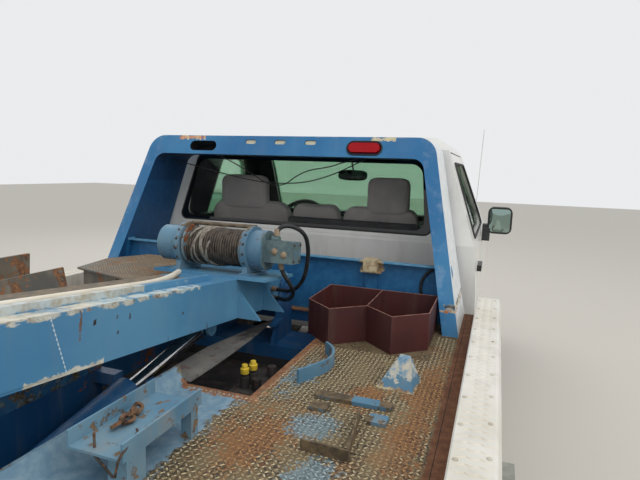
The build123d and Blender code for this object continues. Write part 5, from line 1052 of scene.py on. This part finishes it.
# Tray, trough, bins and small steel pieces about the deck: folded and welded sheet, flat bar and angle,
# each in its own old paint and worn to rust.
tray_rust = worn_paint("tray_rust", seen(104, 92, 76), seen(92, 96, 94), 0.55, 8.0, 0.78, dust=0.45,
                       rust=(seen(74, 54, 40), seen(142, 98, 60)))
dress(tray_rust, "left_tray")
trough_grey = worn_paint("trough_grey", seen(82, 80, 74), seen(106, 96, 80), 0.50, 7.0, 0.75, dust=0.5,
                         rust=(seen(74, 50, 38), seen(136, 94, 62)))
dress(trough_grey, "trough")
bin_maroon = worn_paint("bin_maroon", seen(80, 34, 32), seen(66, 29, 28), 0.66, 6.0, 0.6, dust=0.1,
                        rust=(seen(52, 30, 25), seen(96, 62, 46)))
repaint(bin_maroon, walls_of(z=(1.1483, 1.16)), seen(156, 116, 104), seen(130, 84, 74), 0.7, soft=0.0006,
        fold=False)
dress(bin_maroon, "bins")
holder_blue = worn_paint("holder_blue", seen(78, 122, 148), seen(112, 148, 166), 0.565, 22.0, 0.6, dust=0.4,
                         rust=(seen(58, 46, 38), seen(128, 104, 76)))
STEEL_BROWN = (seen(78, 66, 50), seen(118, 100, 72))
# steel pieces worn bare: the flat bar's left half, its end, one square plate and the angle
WORN_BARE = (((-1.378, -1.334), (-0.720, -0.600), (0.99, 1.02)),
             ((-1.378, -1.334), (-0.842, -0.800), (0.99, 1.02)),
             ((-1.453, -1.405), (-0.668, -0.606), (0.99, 1.02)),
             ((-1.672, -1.436), (-0.800, -0.660), (0.99, 1.04)))
for limits in WORN_BARE:
    repaint(holder_blue, walls_of(*limits), *STEEL_BROWN, 0.75, ragged=0.004, lumps=50.0, fold=False)
repaint(holder_blue, walls_of((-1.235, -1.1), (-0.90, -0.75), (1.03, 1.10)), seen(196, 190, 172),
        seen(96, 140, 168), 0.7, ragged=0.018, lumps=45.0, fold=False)
repaint(holder_blue, walls_of((-1.24, -1.1), (-0.90, -0.75), (0.995, 1.008)), seen(200, 186, 150),
        seen(120, 90, 60), 0.7, ragged=0.006, lumps=45.0, fold=False)
dress(holder_blue, "deck_fittings")
wire_rust = worn_paint("wire_rust", seen(92, 70, 52), seen(60, 50, 42), 0.5, 60.0, 0.7,
                       rust=(seen(54, 38, 30), seen(130, 92, 60)))
HOLDER_WIRE = [(-1.951, -0.307, 1.119), (-1.953, -0.309, 1.085), (-1.958, -0.314, 1.071),
               (-1.985, -0.385, 1.056), (-1.991, -0.396, 1.062), (-1.987, -0.401, 1.094),
               (-1.978, -0.402, 1.104), (-1.910, -0.388, 1.118), (-1.895, -0.372, 1.112)]
wire_frame = tube_along("holder_wire", HOLDER_WIRE, 0.003, sides=8)
wire_frame.data.materials.append(wire_rust)
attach(wire_frame, "chassis")
chain_rust = worn_paint("chain_rust", seen(92, 66, 48), seen(120, 92, 66), 0.5, 30.0, 0.8,
                        rust=(seen(54, 38, 30), seen(122, 84, 56)))
dress(chain_rust, "chain")
plate_worn_and_shaded = worn_paint("plate_worn_and_shaded", seen(92, 94, 92), seen(128, 124, 118), 0.54, 22.0, 0.6, dust=0.4,
                        rust=(seen(60, 56, 58), seen(112, 92, 84)))
# a soft darker patch on the plate under the winch and the boom's foot: painted shadow
repaint(plate_worn_and_shaded, walls_of((-0.98, -0.70), (-0.30, 0.0)), seen(62, 60, 58), seen(48, 47, 46), 0.75,
        soft=0.05, ragged=0.06, lumps=9.0, fold=False)
dress(plate_worn_and_shaded, "gap_plate")

# Lamps: deep red lenses at the back and clear panels at the front, with ribs moulded inside, each
# pressed into its opening.


def fluted(name, roughness, scale, first, second, deep, direction="Y", metallic=0.0):
    """A finish in two colours by a wave of bands along an axis, moulded that deep, and its shader."""
    made, tree, shader, place = start_finish(name, roughness, metallic)
    flutes = bands(tree, place, scale, direction)
    tree.links.new(over(tree, flutes, first, second), shader.inputs["Base Color"])
    raise_by(tree, shader, flutes, deep)
    return made, shader


lens_red, shader = fluted("lens_red", 0.18, 60.0, seen(142, 4, 16), seen(186, 16, 32), 0.001)
shader.inputs["Specular IOR Level"].default_value = 0.12
dress(lens_red, "red_lamps")
lens_clear, shader = fluted("lens_clear", 0.08, 28.0, seen(196, 202, 206), seen(236, 240, 242), 0.002)
shader.inputs["Coat Weight"].default_value = 0.6
dress(lens_clear, "headlamps")

# Front lamps: a round sealed beam of fluted glass in a bright rolled rim, and a ribbed amber lamp beside
# it, both set on the clear panel at each side of the grille.
lamp_rim = drifting("lamp_rim", 0.15, 30.0, 0.5, 0.8, seen(206, 208, 210), seen(150, 146, 140), metallic=1.0)
lamp_glass, _ = fluted("lamp_glass", 0.06, 34.0, seen(150, 158, 164), seen(214, 220, 224), 0.003)
lamp_amber, _ = fluted("lamp_amber", 0.2, 50.0, seen(206, 112, 20), seen(232, 142, 40), 0.002, "Z")
LAMP_FACE_X = 2.835
LAMP_Z = 0.950
BEAM_Y = 0.605
AMBER_Y = 0.768
AMBER_HALF = (0.062, 0.080, 0.011)
FACES_FORWARD = [(0, 1, 0), (0, 0, 1), (1, 0, 0)]
BEAM_PROFILE = ((0.0, 0.0), (0.074, 0.0), (0.074, 0.004), (0.066, 0.008), (0.045, 0.011), (0.020, 0.0125),
                (0.0, 0.013))
RIM_PROFILE = ((0.0, 0.0), (0.083, 0.0), (0.085, 0.004), (0.082, 0.009), (0.076, 0.010), (0.073, 0.006),
               (0.0725, 0.001), (0.0, 0.001))
for side_name, side in (("left", 1), ("right", -1)):
    beam_at = (LAMP_FACE_X, side * BEAM_Y, LAMP_Z)
    beam = turned(f"beam_{side_name}", BEAM_PROFILE, beam_at, 36, forward=True)
    beam_rim = turned(f"beam_rim_{side_name}", RIM_PROFILE, beam_at, 36, forward=True)
    amber = pad(f"amber_{side_name}", (LAMP_FACE_X, side * AMBER_Y, LAMP_Z), AMBER_HALF, FACES_FORWARD,
                0.001, [])
    for piece, finish, paint in ((beam, lamp_glass, "lamp_clear"), (beam_rim, lamp_rim, "chrome_trim"),
                                 (amber, lamp_amber, "lamp_clear")):
        piece.data.materials.append(finish)
        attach(piece, "chassis")

# Engine bay: finned radiator with its tanks and cap behind the grille, held by two tie plates between
# the front clip's inner walls, a fan in its ring, two stamped valve covers and a round air cleaner on
# the block, and a moulded coolant hose from the radiator to the block.
ENGINE_TOP = 1.060
ENGINE_NOSE = 2.180
SHAFT_Z = 0.860
CORE_HALF = 0.400
TANK_HALF = 0.415
TIE_HALF = 0.735
HIGH_TIE = [(2.690, 0.990), (2.768, 0.990), (2.768, 0.996), (2.690, 0.996)]
LOW_TIE = [(2.690, 0.715), (2.768, 0.715), (2.768, 0.721), (2.690, 0.721)]
RADIATOR = [(2.640, 0.735), (2.690, 0.735), (2.690, 0.985), (2.640, 0.985)]
TOP_TANK = [(2.628, 0.983), (2.702, 0.983), (2.705, 1.000), (2.690, 1.030), (2.640, 1.030), (2.625, 1.000)]
LOW_TANK = [(2.702, 0.737), (2.705, 0.710), (2.690, 0.690), (2.640, 0.690), (2.625, 0.710), (2.628, 0.737)]
CAP_STEPS = ((0.0, 0.0), (0.026, 0.0), (0.030, 0.004), (0.030, 0.014), (0.024, 0.018), (0.0, 0.019))
CLEANER = ((0.0, 0.0), (0.070, 0.0), (0.070, 0.020), (0.172, 0.024), (0.180, 0.030), (0.180, 0.070),
           (0.186, 0.074), (0.186, 0.082), (0.176, 0.086), (0.120, 0.090), (0.110, 0.086), (0.040, 0.086),
           (0.014, 0.088), (0.012, 0.100), (0.0, 0.101))
FAN_HUB = ((0.0, 0.0), (0.055, 0.0), (0.058, 0.010), (0.050, 0.060), (0.090, 0.066), (0.092, 0.100),
           (0.030, 0.104), (0.028, 0.125), (0.0, 0.126))
HOSE_ROUTE = [(2.630, -0.260, 0.995), (2.580, -0.258, 1.000), (2.480, -0.240, 1.030), (2.360, -0.190, 1.050),
              (2.260, -0.130, 1.040), (2.200, -0.100, 1.010), (2.172, -0.095, 1.000)]
finned, _ = fluted("radiator_fins", 0.55, 90.0, seen(34, 34, 35), seen(96, 96, 94), 0.003, metallic=0.4)
cover_black = worn_paint("cover_black", seen(40, 40, 41), seen(66, 62, 58), 0.58, 12.0, 0.5, dust=0.5)
bay = [(closed_prism(name, profile, (-half, half)), finish) for name, profile, half, finish in (
    ("radiator_core", RADIATOR, CORE_HALF, finned), ("radiator_top_tank", TOP_TANK, TANK_HALF, cover_black),
    ("radiator_low_tank", LOW_TANK, TANK_HALF, cover_black),
    ("radiator_high_tie", HIGH_TIE, TIE_HALF, cover_black),
    ("radiator_low_tie", LOW_TIE, TIE_HALF, cover_black))]
bay += [(turned("radiator_cap", CAP_STEPS, (2.665, 0.240, 1.028)), lamp_rim),
        (turned("air_cleaner", CLEANER, (1.790, 0.0, ENGINE_TOP - 0.002), 48), cover_black),
        (turned("fan_hub", FAN_HUB, (ENGINE_NOSE - 0.004, 0.0, SHAFT_Z), 32, forward=True), engine_grey),
        (tube_along("coolant_hose", HOSE_ROUTE, 0.024, sides=14), grained_dark)]
RING_X = 2.300
RING_R = 0.225
turn = np.linspace(0, 2 * np.pi, 49)[:-1]
ring_line = np.stack([np.full(48, RING_X), RING_R * np.cos(turn), SHAFT_Z + RING_R * np.sin(turn)], -1)
bay.append((tube_along("fan_ring", ring_line, 0.012, sides=8, closed=True, reference=(1.0, 0.0, 0.0)),
            cover_black))
for name, y in (("ring_stay_left", 0.222), ("ring_stay_right", -0.222)):
    stay = [(RING_X - 0.004, y, SHAFT_Z), (2.460, y * 1.06, SHAFT_Z), (2.642, y * 1.10, SHAFT_Z)]
    bay.append((tube_along(name, stay, 0.010, sides=8), cover_black))
# seven blades: each a twisted strip whose pitch falls from root to tip
BLADE_ENDS = (0.045, 0.205)
BLADE_X = ENGINE_NOSE + 0.080
BLADE_SHEET = 0.0025
along, wide = np.meshgrid(np.linspace(*BLADE_ENDS, 8), np.linspace(-1, 1, 5), indexing="ij")
pitch = np.radians(np.interp(along, BLADE_ENDS, (50, 28)))
chord = np.interp(along, BLADE_ENDS, (0.026, 0.042))
for blade in range(7):
    lean = 2 * np.pi * blade / 7
    across = wide * chord * np.cos(pitch)
    front = np.stack([BLADE_X + wide * chord * np.sin(pitch), along * np.cos(lean) - across * np.sin(lean),
                      SHAFT_Z + along * np.sin(lean) + across * np.cos(lean)], -1)
    section = np.concatenate([front, front[:, ::-1] - np.array([BLADE_SHEET, 0.0, 0.0])], 1)
    bay.append((dished(f"fan_blade_{blade}", section), cover_black))
for name, y in (("valve_cover_left", 0.195), ("valve_cover_right", -0.195)):
    bay.append((pad(name, (1.820, y, ENGINE_TOP + 0.012), (0.300, 0.072, 0.030), np.eye(3), 0.004, [], 0.22),
                cover_black))
for piece, finish in bay:
    piece.data.materials.append(finish)
    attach(piece, "chassis")

# Grille, dash, bumper and the lift cylinder's rod: moulded grey-black plastic, grained dark plastic,
# pressed steel with bright plating, and a plated bar.
grille_black = drifting("grille_black", 0.5, 12.0, 0.4, 0.7, seen(44, 45, 46), seen(72, 72, 70),
                        grain=(300.0, 3.0, 0.0004))
dress(grille_black, "grille")
dash_grey = drifting("dash_grey", 0.6, 8.0, 0.4, 0.7, seen(62, 62, 64), seen(84, 83, 82),
                     grain=(400.0, 2.0, 0.0005))
dress(dash_grey, "dashboard")
bumper_bright, tree, shader, place = start_finish("bumper_bright", 0.16, 1.0)
tree.links.new(shade(tree, place, 20.0, 0.55, 0.75, seen(206, 206, 204), seen(150, 140, 126), 5.0),
               shader.inputs["Base Color"])
tree.links.new(between(tree, cloud(tree, place, 6.0), 0.4, 0.8, 0.1, 0.45), shader.inputs["Roughness"])
dress(bumper_bright, "front_bumper")
rod_bright = drifting("rod_bright", 0.14, 30.0, 0.5, 0.8, seen(198, 198, 198), seen(140, 130, 120),
                      metallic=1.0)
dress(rod_bright, "lift_rod")

# Boom: welded box in mid blue, scraped white along its right top edge, freckled with rust and
# streaked where water ran. A doubler plate is welded on behind the seam, with plug welds.
PIVOT_X = -0.571
PIVOT_Z = 1.124
BOOM_TILT = 0.10647
BOOM_HALF = 0.140
BOOM_TOP = 0.0785
SEAM_LOW_U = 1.293
SEAM_HIGH_U = 1.346
SEAM_HALF = 0.070
boom_back = np.array([-np.cos(BOOM_TILT), 0.0, np.sin(BOOM_TILT)])
boom_up = np.array([np.sin(BOOM_TILT), 0.0, np.cos(BOOM_TILT)])


def along_boom(u, y, v):
    """Points from their places along the boom from its pivot, across it, and square to it."""
    u, y, v = np.broadcast_arrays(np.asarray(u, float), y, v)
    at = np.array([PIVOT_X, 0.0, PIVOT_Z])
    return at + u[..., None] * boom_back + y[..., None] * np.array([0.0, 1.0, 0.0]) + v[..., None] * boom_up


def on_boom(u=None, v=None, y=None):
    """The walls of a block in the boom's own directions: limits along it, square to it and across it."""
    walls = walls_of(y=y)
    pivot = np.array([PIVOT_X, 0.0, PIVOT_Z])
    for direction, limits in ((boom_back, u), (boom_up, v)):
        for sign, limit in zip((-1, 1), limits or ()):
            walls.append((tuple(sign * direction), sign * (limit + float(direction @ pivot))))
    return walls


def seam_u(v):
    """How far along the boom its doubler's slanting edge is at a height."""
    return SEAM_LOW_U + (np.asarray(v) + SEAM_HALF) / (2 * SEAM_HALF) * (SEAM_HIGH_U - SEAM_LOW_U)


boom_blue = worn_paint("boom_paint", seen(72, 130, 168), seen(92, 146, 178), 0.66, 9.0, 0.36, dust=0.12,
                       rust=(seen(76, 48, 36), seen(150, 116, 88)), scratch=0.015)
dress(boom_blue, "boom", "inner_boom")
WORN_CREAM = ((216, 212, 196), (190, 184, 164))
# wear on the boom's paint, and a painted shadow beside the top rail: limits along it, square to it and
# across it, two tones, then how rough, how soft its edge is, how ragged, and how many lumps a metre
BOOM_WEAR_AND_SHADE = (
    ((0.95, 3.0), (0.0795, 0.11), (-0.092, -0.052), ((190, 198, 196), (168, 160, 140)),
     0.5, 0.003, 0.004, 22.0),
    ((0.58, 3.0), (0.0600, 0.1000), (-0.020, 0.15), ((124, 108, 84), (92, 86, 76)), 0.75, 0.004, 0.006, 18.0),
    # dark brown along and under the top rail: partly rust, partly a painted shadow of the rail
    ((0.62, 3.0), (0.0600, 0.1000), (-0.0590, -0.022), ((60, 46, 40), (82, 66, 56)), 0.8, 0.002, 0.002, 40.0),
    ((1.10, 3.0), (0.0770, 0.0795), (-0.15, -0.092), WORN_CREAM, 0.55, 0.003, 0.004, 12.0),
    ((0.72, 1.20), (0.0770, 0.0795), (-0.15, -0.098), ((176, 196, 200), (200, 200, 184)),
     0.5, 0.004, 0.014, 20.0),
    ((0.80, 3.0), (0.068, 0.0795), (-0.15, -0.139), ((196, 196, 184), (112, 84, 62)),
     0.7, 0.002, 0.006, 26.0),
    ((1.17, 1.405), (-0.10, -0.068), (-0.15, -0.13), WORN_CREAM, 0.6, 0.002, 0.006, 24.0),
    ((1.249, 1.255), (-0.004, 0.071), (-0.15, -0.13), ((92, 62, 46), (120, 100, 84)),
     0.8, 0.002, 0.003, 60.0))
for u, v, y, (first, second), roughness, soft, ragged, lumps in BOOM_WEAR_AND_SHADE:
    repaint(boom_blue, on_boom(u, v, y), seen(*first), seen(*second), roughness, soft, ragged, lumps,
            fold=False)
# dark chips and runs on the boom's right side: where along it, how high, half length and half height
DARK_CHIPS = ((1.205, 0.036, 0.004, 0.007), (1.126, 0.037, 0.003, 0.004), (1.120, -0.006, 0.003, 0.004),
              (1.075, 0.031, 0.002, 0.008), (0.820, 0.000, 0.003, 0.003), (0.893, -0.074, 0.002, 0.009),
              (0.766, -0.077, 0.002, 0.008), (0.668, -0.066, 0.002, 0.010))
for u, v, long, high in DARK_CHIPS:
    repaint(boom_blue, on_boom((u - long, u + long), (v - high, v + high), (-0.15, -0.13)), seen(44, 36, 34),
            seen(80, 58, 44), 0.8, soft=0.0015, ragged=0.002, lumps=90.0, fold=False)

# a round rail welded along the top, bent over to the left behind the winch: along the boom and across it
RAIL_R = 0.0115
RAIL_UP = BOOM_TOP + RAIL_R - 0.001
RAIL_ROUTE = ((2.120, -0.030), (2.0, -0.030), (1.7, -0.030), (1.4, -0.030), (1.1, -0.030), (0.94, -0.030),
              (0.89, -0.0290), (0.85, -0.0250), (0.80, -0.0170), (0.75, -0.0040), (0.70, 0.0130),
              (0.65, 0.0330), (0.60, 0.0560), (0.55, 0.0800), (0.51, 0.1000))
top_rail = tube_along("top_rail", along_boom(*np.array(RAIL_ROUTE).T, RAIL_UP), RAIL_R, sides=12)
top_rail.data.materials.append(cap_cream)
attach(top_rail, "boom")

weld_line = np.linspace(-SEAM_HALF, SEAM_HALF, 40)
weld_bead = tube_along("boom_weld", along_boom(seam_u(weld_line), -BOOM_HALF - 0.0012, weld_line),
                       0.0032 + 0.0006 * np.sin(np.arange(40) * 1.9), sides=6, reference=(0.0, 1.0, 0.0))
plug_v = np.linspace(-0.064, 0.062, 9)
plug_places = along_boom(seam_u(plug_v) + 0.0155 + 0.0015 * np.sin(plug_v * 90), -BOOM_HALF - 0.0015, plug_v)


def knobs(name, middles, radius, high, outward):
    """Small flattened domes that stand out along a direction: rings of a half ball, all at once."""
    outward = np.asarray(outward, float)
    first = np.cross(outward, [0.3, 0.2, 0.9])
    first /= np.linalg.norm(first)
    second = np.cross(outward, first)
    turn, rise = np.meshgrid(2 * np.pi * np.arange(10) / 10, np.array([-0.2, 0.5, 1.0, 1.35]), indexing="ij")
    sideways = np.cos(turn)[..., None] * first + np.sin(turn)[..., None] * second
    local = radius * np.cos(rise)[..., None] * sideways + high * np.sin(rise)[..., None] * outward
    local = local.reshape(-1, 3)
    local = np.vstack([local, high * outward])
    at = np.arange(40).reshape(10, 4)
    after = np.roll(at, -1, 0)
    quads = np.stack([at[:, :-1], after[:, :-1], after[:, 1:], at[:, 1:]], -1).reshape(-1, 4)
    lids = np.stack([at[:, 3], after[:, 3], np.full(10, 40)], -1)
    faces = np.vstack([quads[:, [0, 1, 2]], quads[:, [0, 2, 3]], lids])
    middles = np.asarray(middles, float)
    points = (local[None] + middles[:, None]).reshape(-1, 3)
    every = (faces[None] + len(local) * np.arange(len(middles))[:, None, None]).reshape(-1, 3)
    return smooth_mesh(name, points, every, sharp=1.2)


plug_welds = knobs("plug_welds", plug_places, 0.0042, 0.0024, (0.0, -1.0, 0.0))
weld_pale = worn_paint("weld_pale", seen(206, 222, 228), seen(160, 190, 208), 0.66, 60.0, 0.4)
for piece in (weld_bead, plug_welds):
    piece.data.materials.append(weld_pale)
    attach(piece, "boom")

# Winch: cast housings and plates in pale blue, gone grey-green and grimy, with dark bolts in the edges of
# both plates, a rusty port on the motor and two pressure hoses down to the boom's foot.
WINCH_U = 0.353
WINCH_V = 0.195
PLATE_R = 0.096
MOTOR_END = -0.340
winch_blue = worn_paint("winch_paint_worn", seen(98, 138, 160), seen(76, 114, 138), 0.575, 16.0, 0.5,
                        dust=0.4, rust=(seen(50, 44, 40), seen(104, 92, 78)))
repaint(winch_blue, on_boom((0.29, 0.42), (0.12, 0.32), (-0.345, -0.212)), seen(104, 124, 124),
        seen(74, 96, 102), 0.6, soft=0.004, ragged=0.01, lumps=30.0, fold=False)
repaint(winch_blue, on_boom((0.20, 0.50), (0.27, 0.32), (-0.15, 0.17)), seen(120, 108, 88), seen(86, 74, 60),
        0.7, soft=0.003, ragged=0.006, lumps=60.0, fold=False)
dress(winch_blue, "winch_frame")


def round_shaft(y, radius, turns):
    """Points round the winch's shaft, from their place along it, radius and turn."""
    return along_boom(WINCH_U + radius * np.cos(turns), y, WINCH_V + radius * np.sin(turns))


PLATE_TURNS = np.radians([38.0, 14.0, -10.0, -34.0])
END_TURNS = np.radians([45.0, 135.0, 225.0, 315.0])
plate_bolts = np.concatenate([round_shaft(y, PLATE_R, PLATE_TURNS) for y in (0.166, -0.146)])
end_bolts = round_shaft(MOTOR_END, 0.046, END_TURNS)
port_rings = along_boom(0.397, np.array([-0.262, -0.302]), np.array([0.196, 0.186]))
bolt_black = worn_paint("bolt_black", seen(34, 32, 32), seen(64, 56, 50), 0.6, 60.0, 0.6)
port_rust = worn_paint("port_rust", seen(112, 72, 50), seen(150, 132, 108), 0.55, 60.0, 0.7)
for name, middles, radius, high, outward, finish in (
        ("winch_plate_bolts", plate_bolts, 0.0062, 0.004, boom_back, bolt_black),
        ("motor_bolts", end_bolts, 0.0075, 0.006, (0.0, -1.0, 0.0), bolt_black),
        ("motor_ports", port_rings, 0.0150, 0.009, boom_back, port_rust)):
    made = knobs(name, middles, radius, high, outward)
    made.data.materials.append(finish)
    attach(made, "boom")

hose_black = drifting("hose_black", 0.45, 25.0, 0.4, 0.75, seen(24, 25, 27), seen(58, 57, 55))


def free_line(name, points, diameter, finish):
    """A round cord along one smooth spline whose control points are the route's points."""
    data = bpy.data.curves.new(name, "CURVE")
    data.dimensions = "3D"
    data.bevel_depth = diameter / 2
    data.bevel_resolution = 3
    data.resolution_u = 10
    data.use_fill_caps = True
    spline = data.splines.new("NURBS")
    points = np.asarray(points, float)
    spline.points.add(len(points) - 1)
    spline.points.foreach_set("co", np.hstack([points, np.ones((len(points), 1))]).ravel())
    spline.order_u = 3
    spline.use_endpoint_u = True
    data.materials.append(finish)
    made = bpy.data.objects.new(name, data)
    bpy.context.scene.collection.objects.link(made)
    return made


HOSE_R = 0.009
# routes in the boom's own directions, millimetres: along it, across it and square to it
HOSES = (
    ("hose_upper", 0.590, [(361, -252, 260), (361, -252, 292), (334, -300, 306), (275, -344, 274),
                           (232, -346, 200), (212, -334, 110), (190, -300, 40), (165, -240, 8),
                           (128, -185, 6), (128, -141, 6)]),
    ("hose_lower", 0.395, [(350, -272, 149.5), (346, -278, 110), (312, -306, 62), (250, -300, 8),
                           (180, -240, -30), (128, -180, -34), (128, -141, -34)]),
)
COLLAR_ALONG = np.array([0.0, 0.006, 0.014, 0.024, 0.028])
COLLAR_RADII = (0.0125, 0.0125, 0.0110, 0.0110, 0.0095)
for name, length, route in HOSES:
    route = along_boom(*(np.array(route, float) / 1000).T)
    made = free_line(name, route, 2 * HOSE_R, hose_black)
    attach(made, "boom")
    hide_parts("winch_hoses")
    for end, (first, second) in (("top", route[:2]), ("foot", route[:-3:-1])):
        way = (second - first) / np.linalg.norm(second - first)
        collar = tube_along(f"{name}_collar_{end}", first + COLLAR_ALONG[:, None] * way, COLLAR_RADII,
                            sides=12, reference=(0.3, 0.0, 1.0))
        collar.data.materials.append(port_rust)
        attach(collar, "boom")

# Wires and one hose that hang loose: two lamp wires in black sleeving behind the window, from the arch
# to the lamp, and a short rubber hose at the bulkhead's right end.
WIRE_R = 0.003
BULKHEAD_HOSE_R = 0.007
LOW_WIRE = [(-0.181, y, z) for y, z in (
    (0.750, 1.722), (0.699, 1.708), (0.541, 1.677), (0.356, 1.637), (0.171, 1.608), (-0.059, 1.609),
    (-0.230, 1.658), (-0.349, 1.714), (-0.418, 1.7505))]
HIGH_WIRE = [(-0.200, y, z) for y, z in (
    (0.430, 1.751), (0.360, 1.720), (0.240, 1.665), (0.130, 1.600), (0.030, 1.594), (-0.040, 1.651),
    (-0.115, 1.686), (-0.239, 1.706), (-0.310, 1.734), (-0.391, 1.751))]
BULKHEAD_HOSE = [(-0.452, -0.847, 1.266), (-0.452, -0.810, 1.246), (-0.452, -0.785, 1.205),
                 (-0.452, -0.778, 1.170), (-0.446, -0.783, 1.130)]
for name, route, radius, length, bends in (("lamp_wire_low", LOW_WIRE, WIRE_R, 1.22, "limp"),
                                           ("lamp_wire_high", HIGH_WIRE, WIRE_R, 0.90, "limp"),
                                           ("bulkhead_hose", BULKHEAD_HOSE, BULKHEAD_HOSE_R, 0.16, "stiff")):
    made = free_line(name, route, 2 * radius, hose_black)
    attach(made, "chassis")

# Wire rope: six strands twisted together, wound on the drum in one neat layer with a few loose
# turns thrown across it.
ROPE_R = 0.0052
ROPE_LAY = 0.075


def wire_rope(name, path, radius=ROPE_R, lay=ROPE_LAY, sides=18):
    """A six-lobed section carried along a path: its radius swells with six times the angle, and the
    lobes turn once in each lay length. Both ends are drawn together to a point."""
    run = np.concatenate([[0], np.cumsum(np.linalg.norm(np.diff(path, axis=0), axis=1))])
    turn = 2 * np.pi * np.arange(sides) / sides
    lobe = radius * (0.93 + 0.09 * np.cos(6 * (turn[None, :] - 2 * np.pi * run[:, None] / lay)))
    lobe[[0, -1]] = 0.0
    across, up = square_to(path, (0.0, 1.0, 0.0))
    return grid_mesh(name, rings_on(path, across, up, lobe, sides), closed_columns=True, sharp=1.2)


# the neat layer's turns and where it lies along the shaft, then the loose turns, which sway as they go
ROPE_TURNS = 22
NEAT_FROM = -0.113
NEAT_LONG = 0.246
NEAT_R = 0.0730
wound = np.linspace(0, ROPE_TURNS * 2 * np.pi, ROPE_TURNS * 34)
neat_y = NEAT_FROM + NEAT_LONG * wound / wound[-1]
rope_layer = wire_rope("rope_layer", round_shaft(neat_y, NEAT_R + 0.0004 * np.sin(wound * 0.31), wound))
LOOSE_TURNS = 5
LOOSE_START = 0.4
LOOSE_FROM = 0.078
LOOSE_LONG = 0.085
LOOSE_R = 0.0792
loose = np.linspace(LOOSE_START, LOOSE_START + LOOSE_TURNS * 2 * np.pi, LOOSE_TURNS * 48)
sway = 0.040 * np.cos(loose + 0.6 * np.sin(loose * 0.23)) + 0.006 * np.sin(loose * 0.53)
loose_y = LOOSE_FROM - LOOSE_LONG * (loose - LOOSE_START) / (LOOSE_TURNS * 2 * np.pi) + sway
rope_loose = wire_rope("rope_loose", round_shaft(loose_y, LOOSE_R + 0.0006 * np.sin(loose * 0.9), loose))
rope_grey = drifting("rope_grey", 0.55, 60.0, 0.4, 0.62, seen(150, 144, 132), seen(112, 102, 92),
                     metallic=0.35)
rope_brown = drifting("rope_brown", 0.6, 40.0, 0.4, 0.62, seen(92, 82, 72), seen(62, 54, 47), metallic=0.3)
for piece, finish in ((rope_layer, rope_brown), (rope_loose, rope_grey)):
    piece.data.materials.append(finish)
    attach(piece, "winch_drum")
drum_steel = worn_paint("drum_steel", seen(120, 146, 156), seen(96, 116, 124), 0.52, 16.0, 0.45)
dress(drum_steel, "winch_drum")
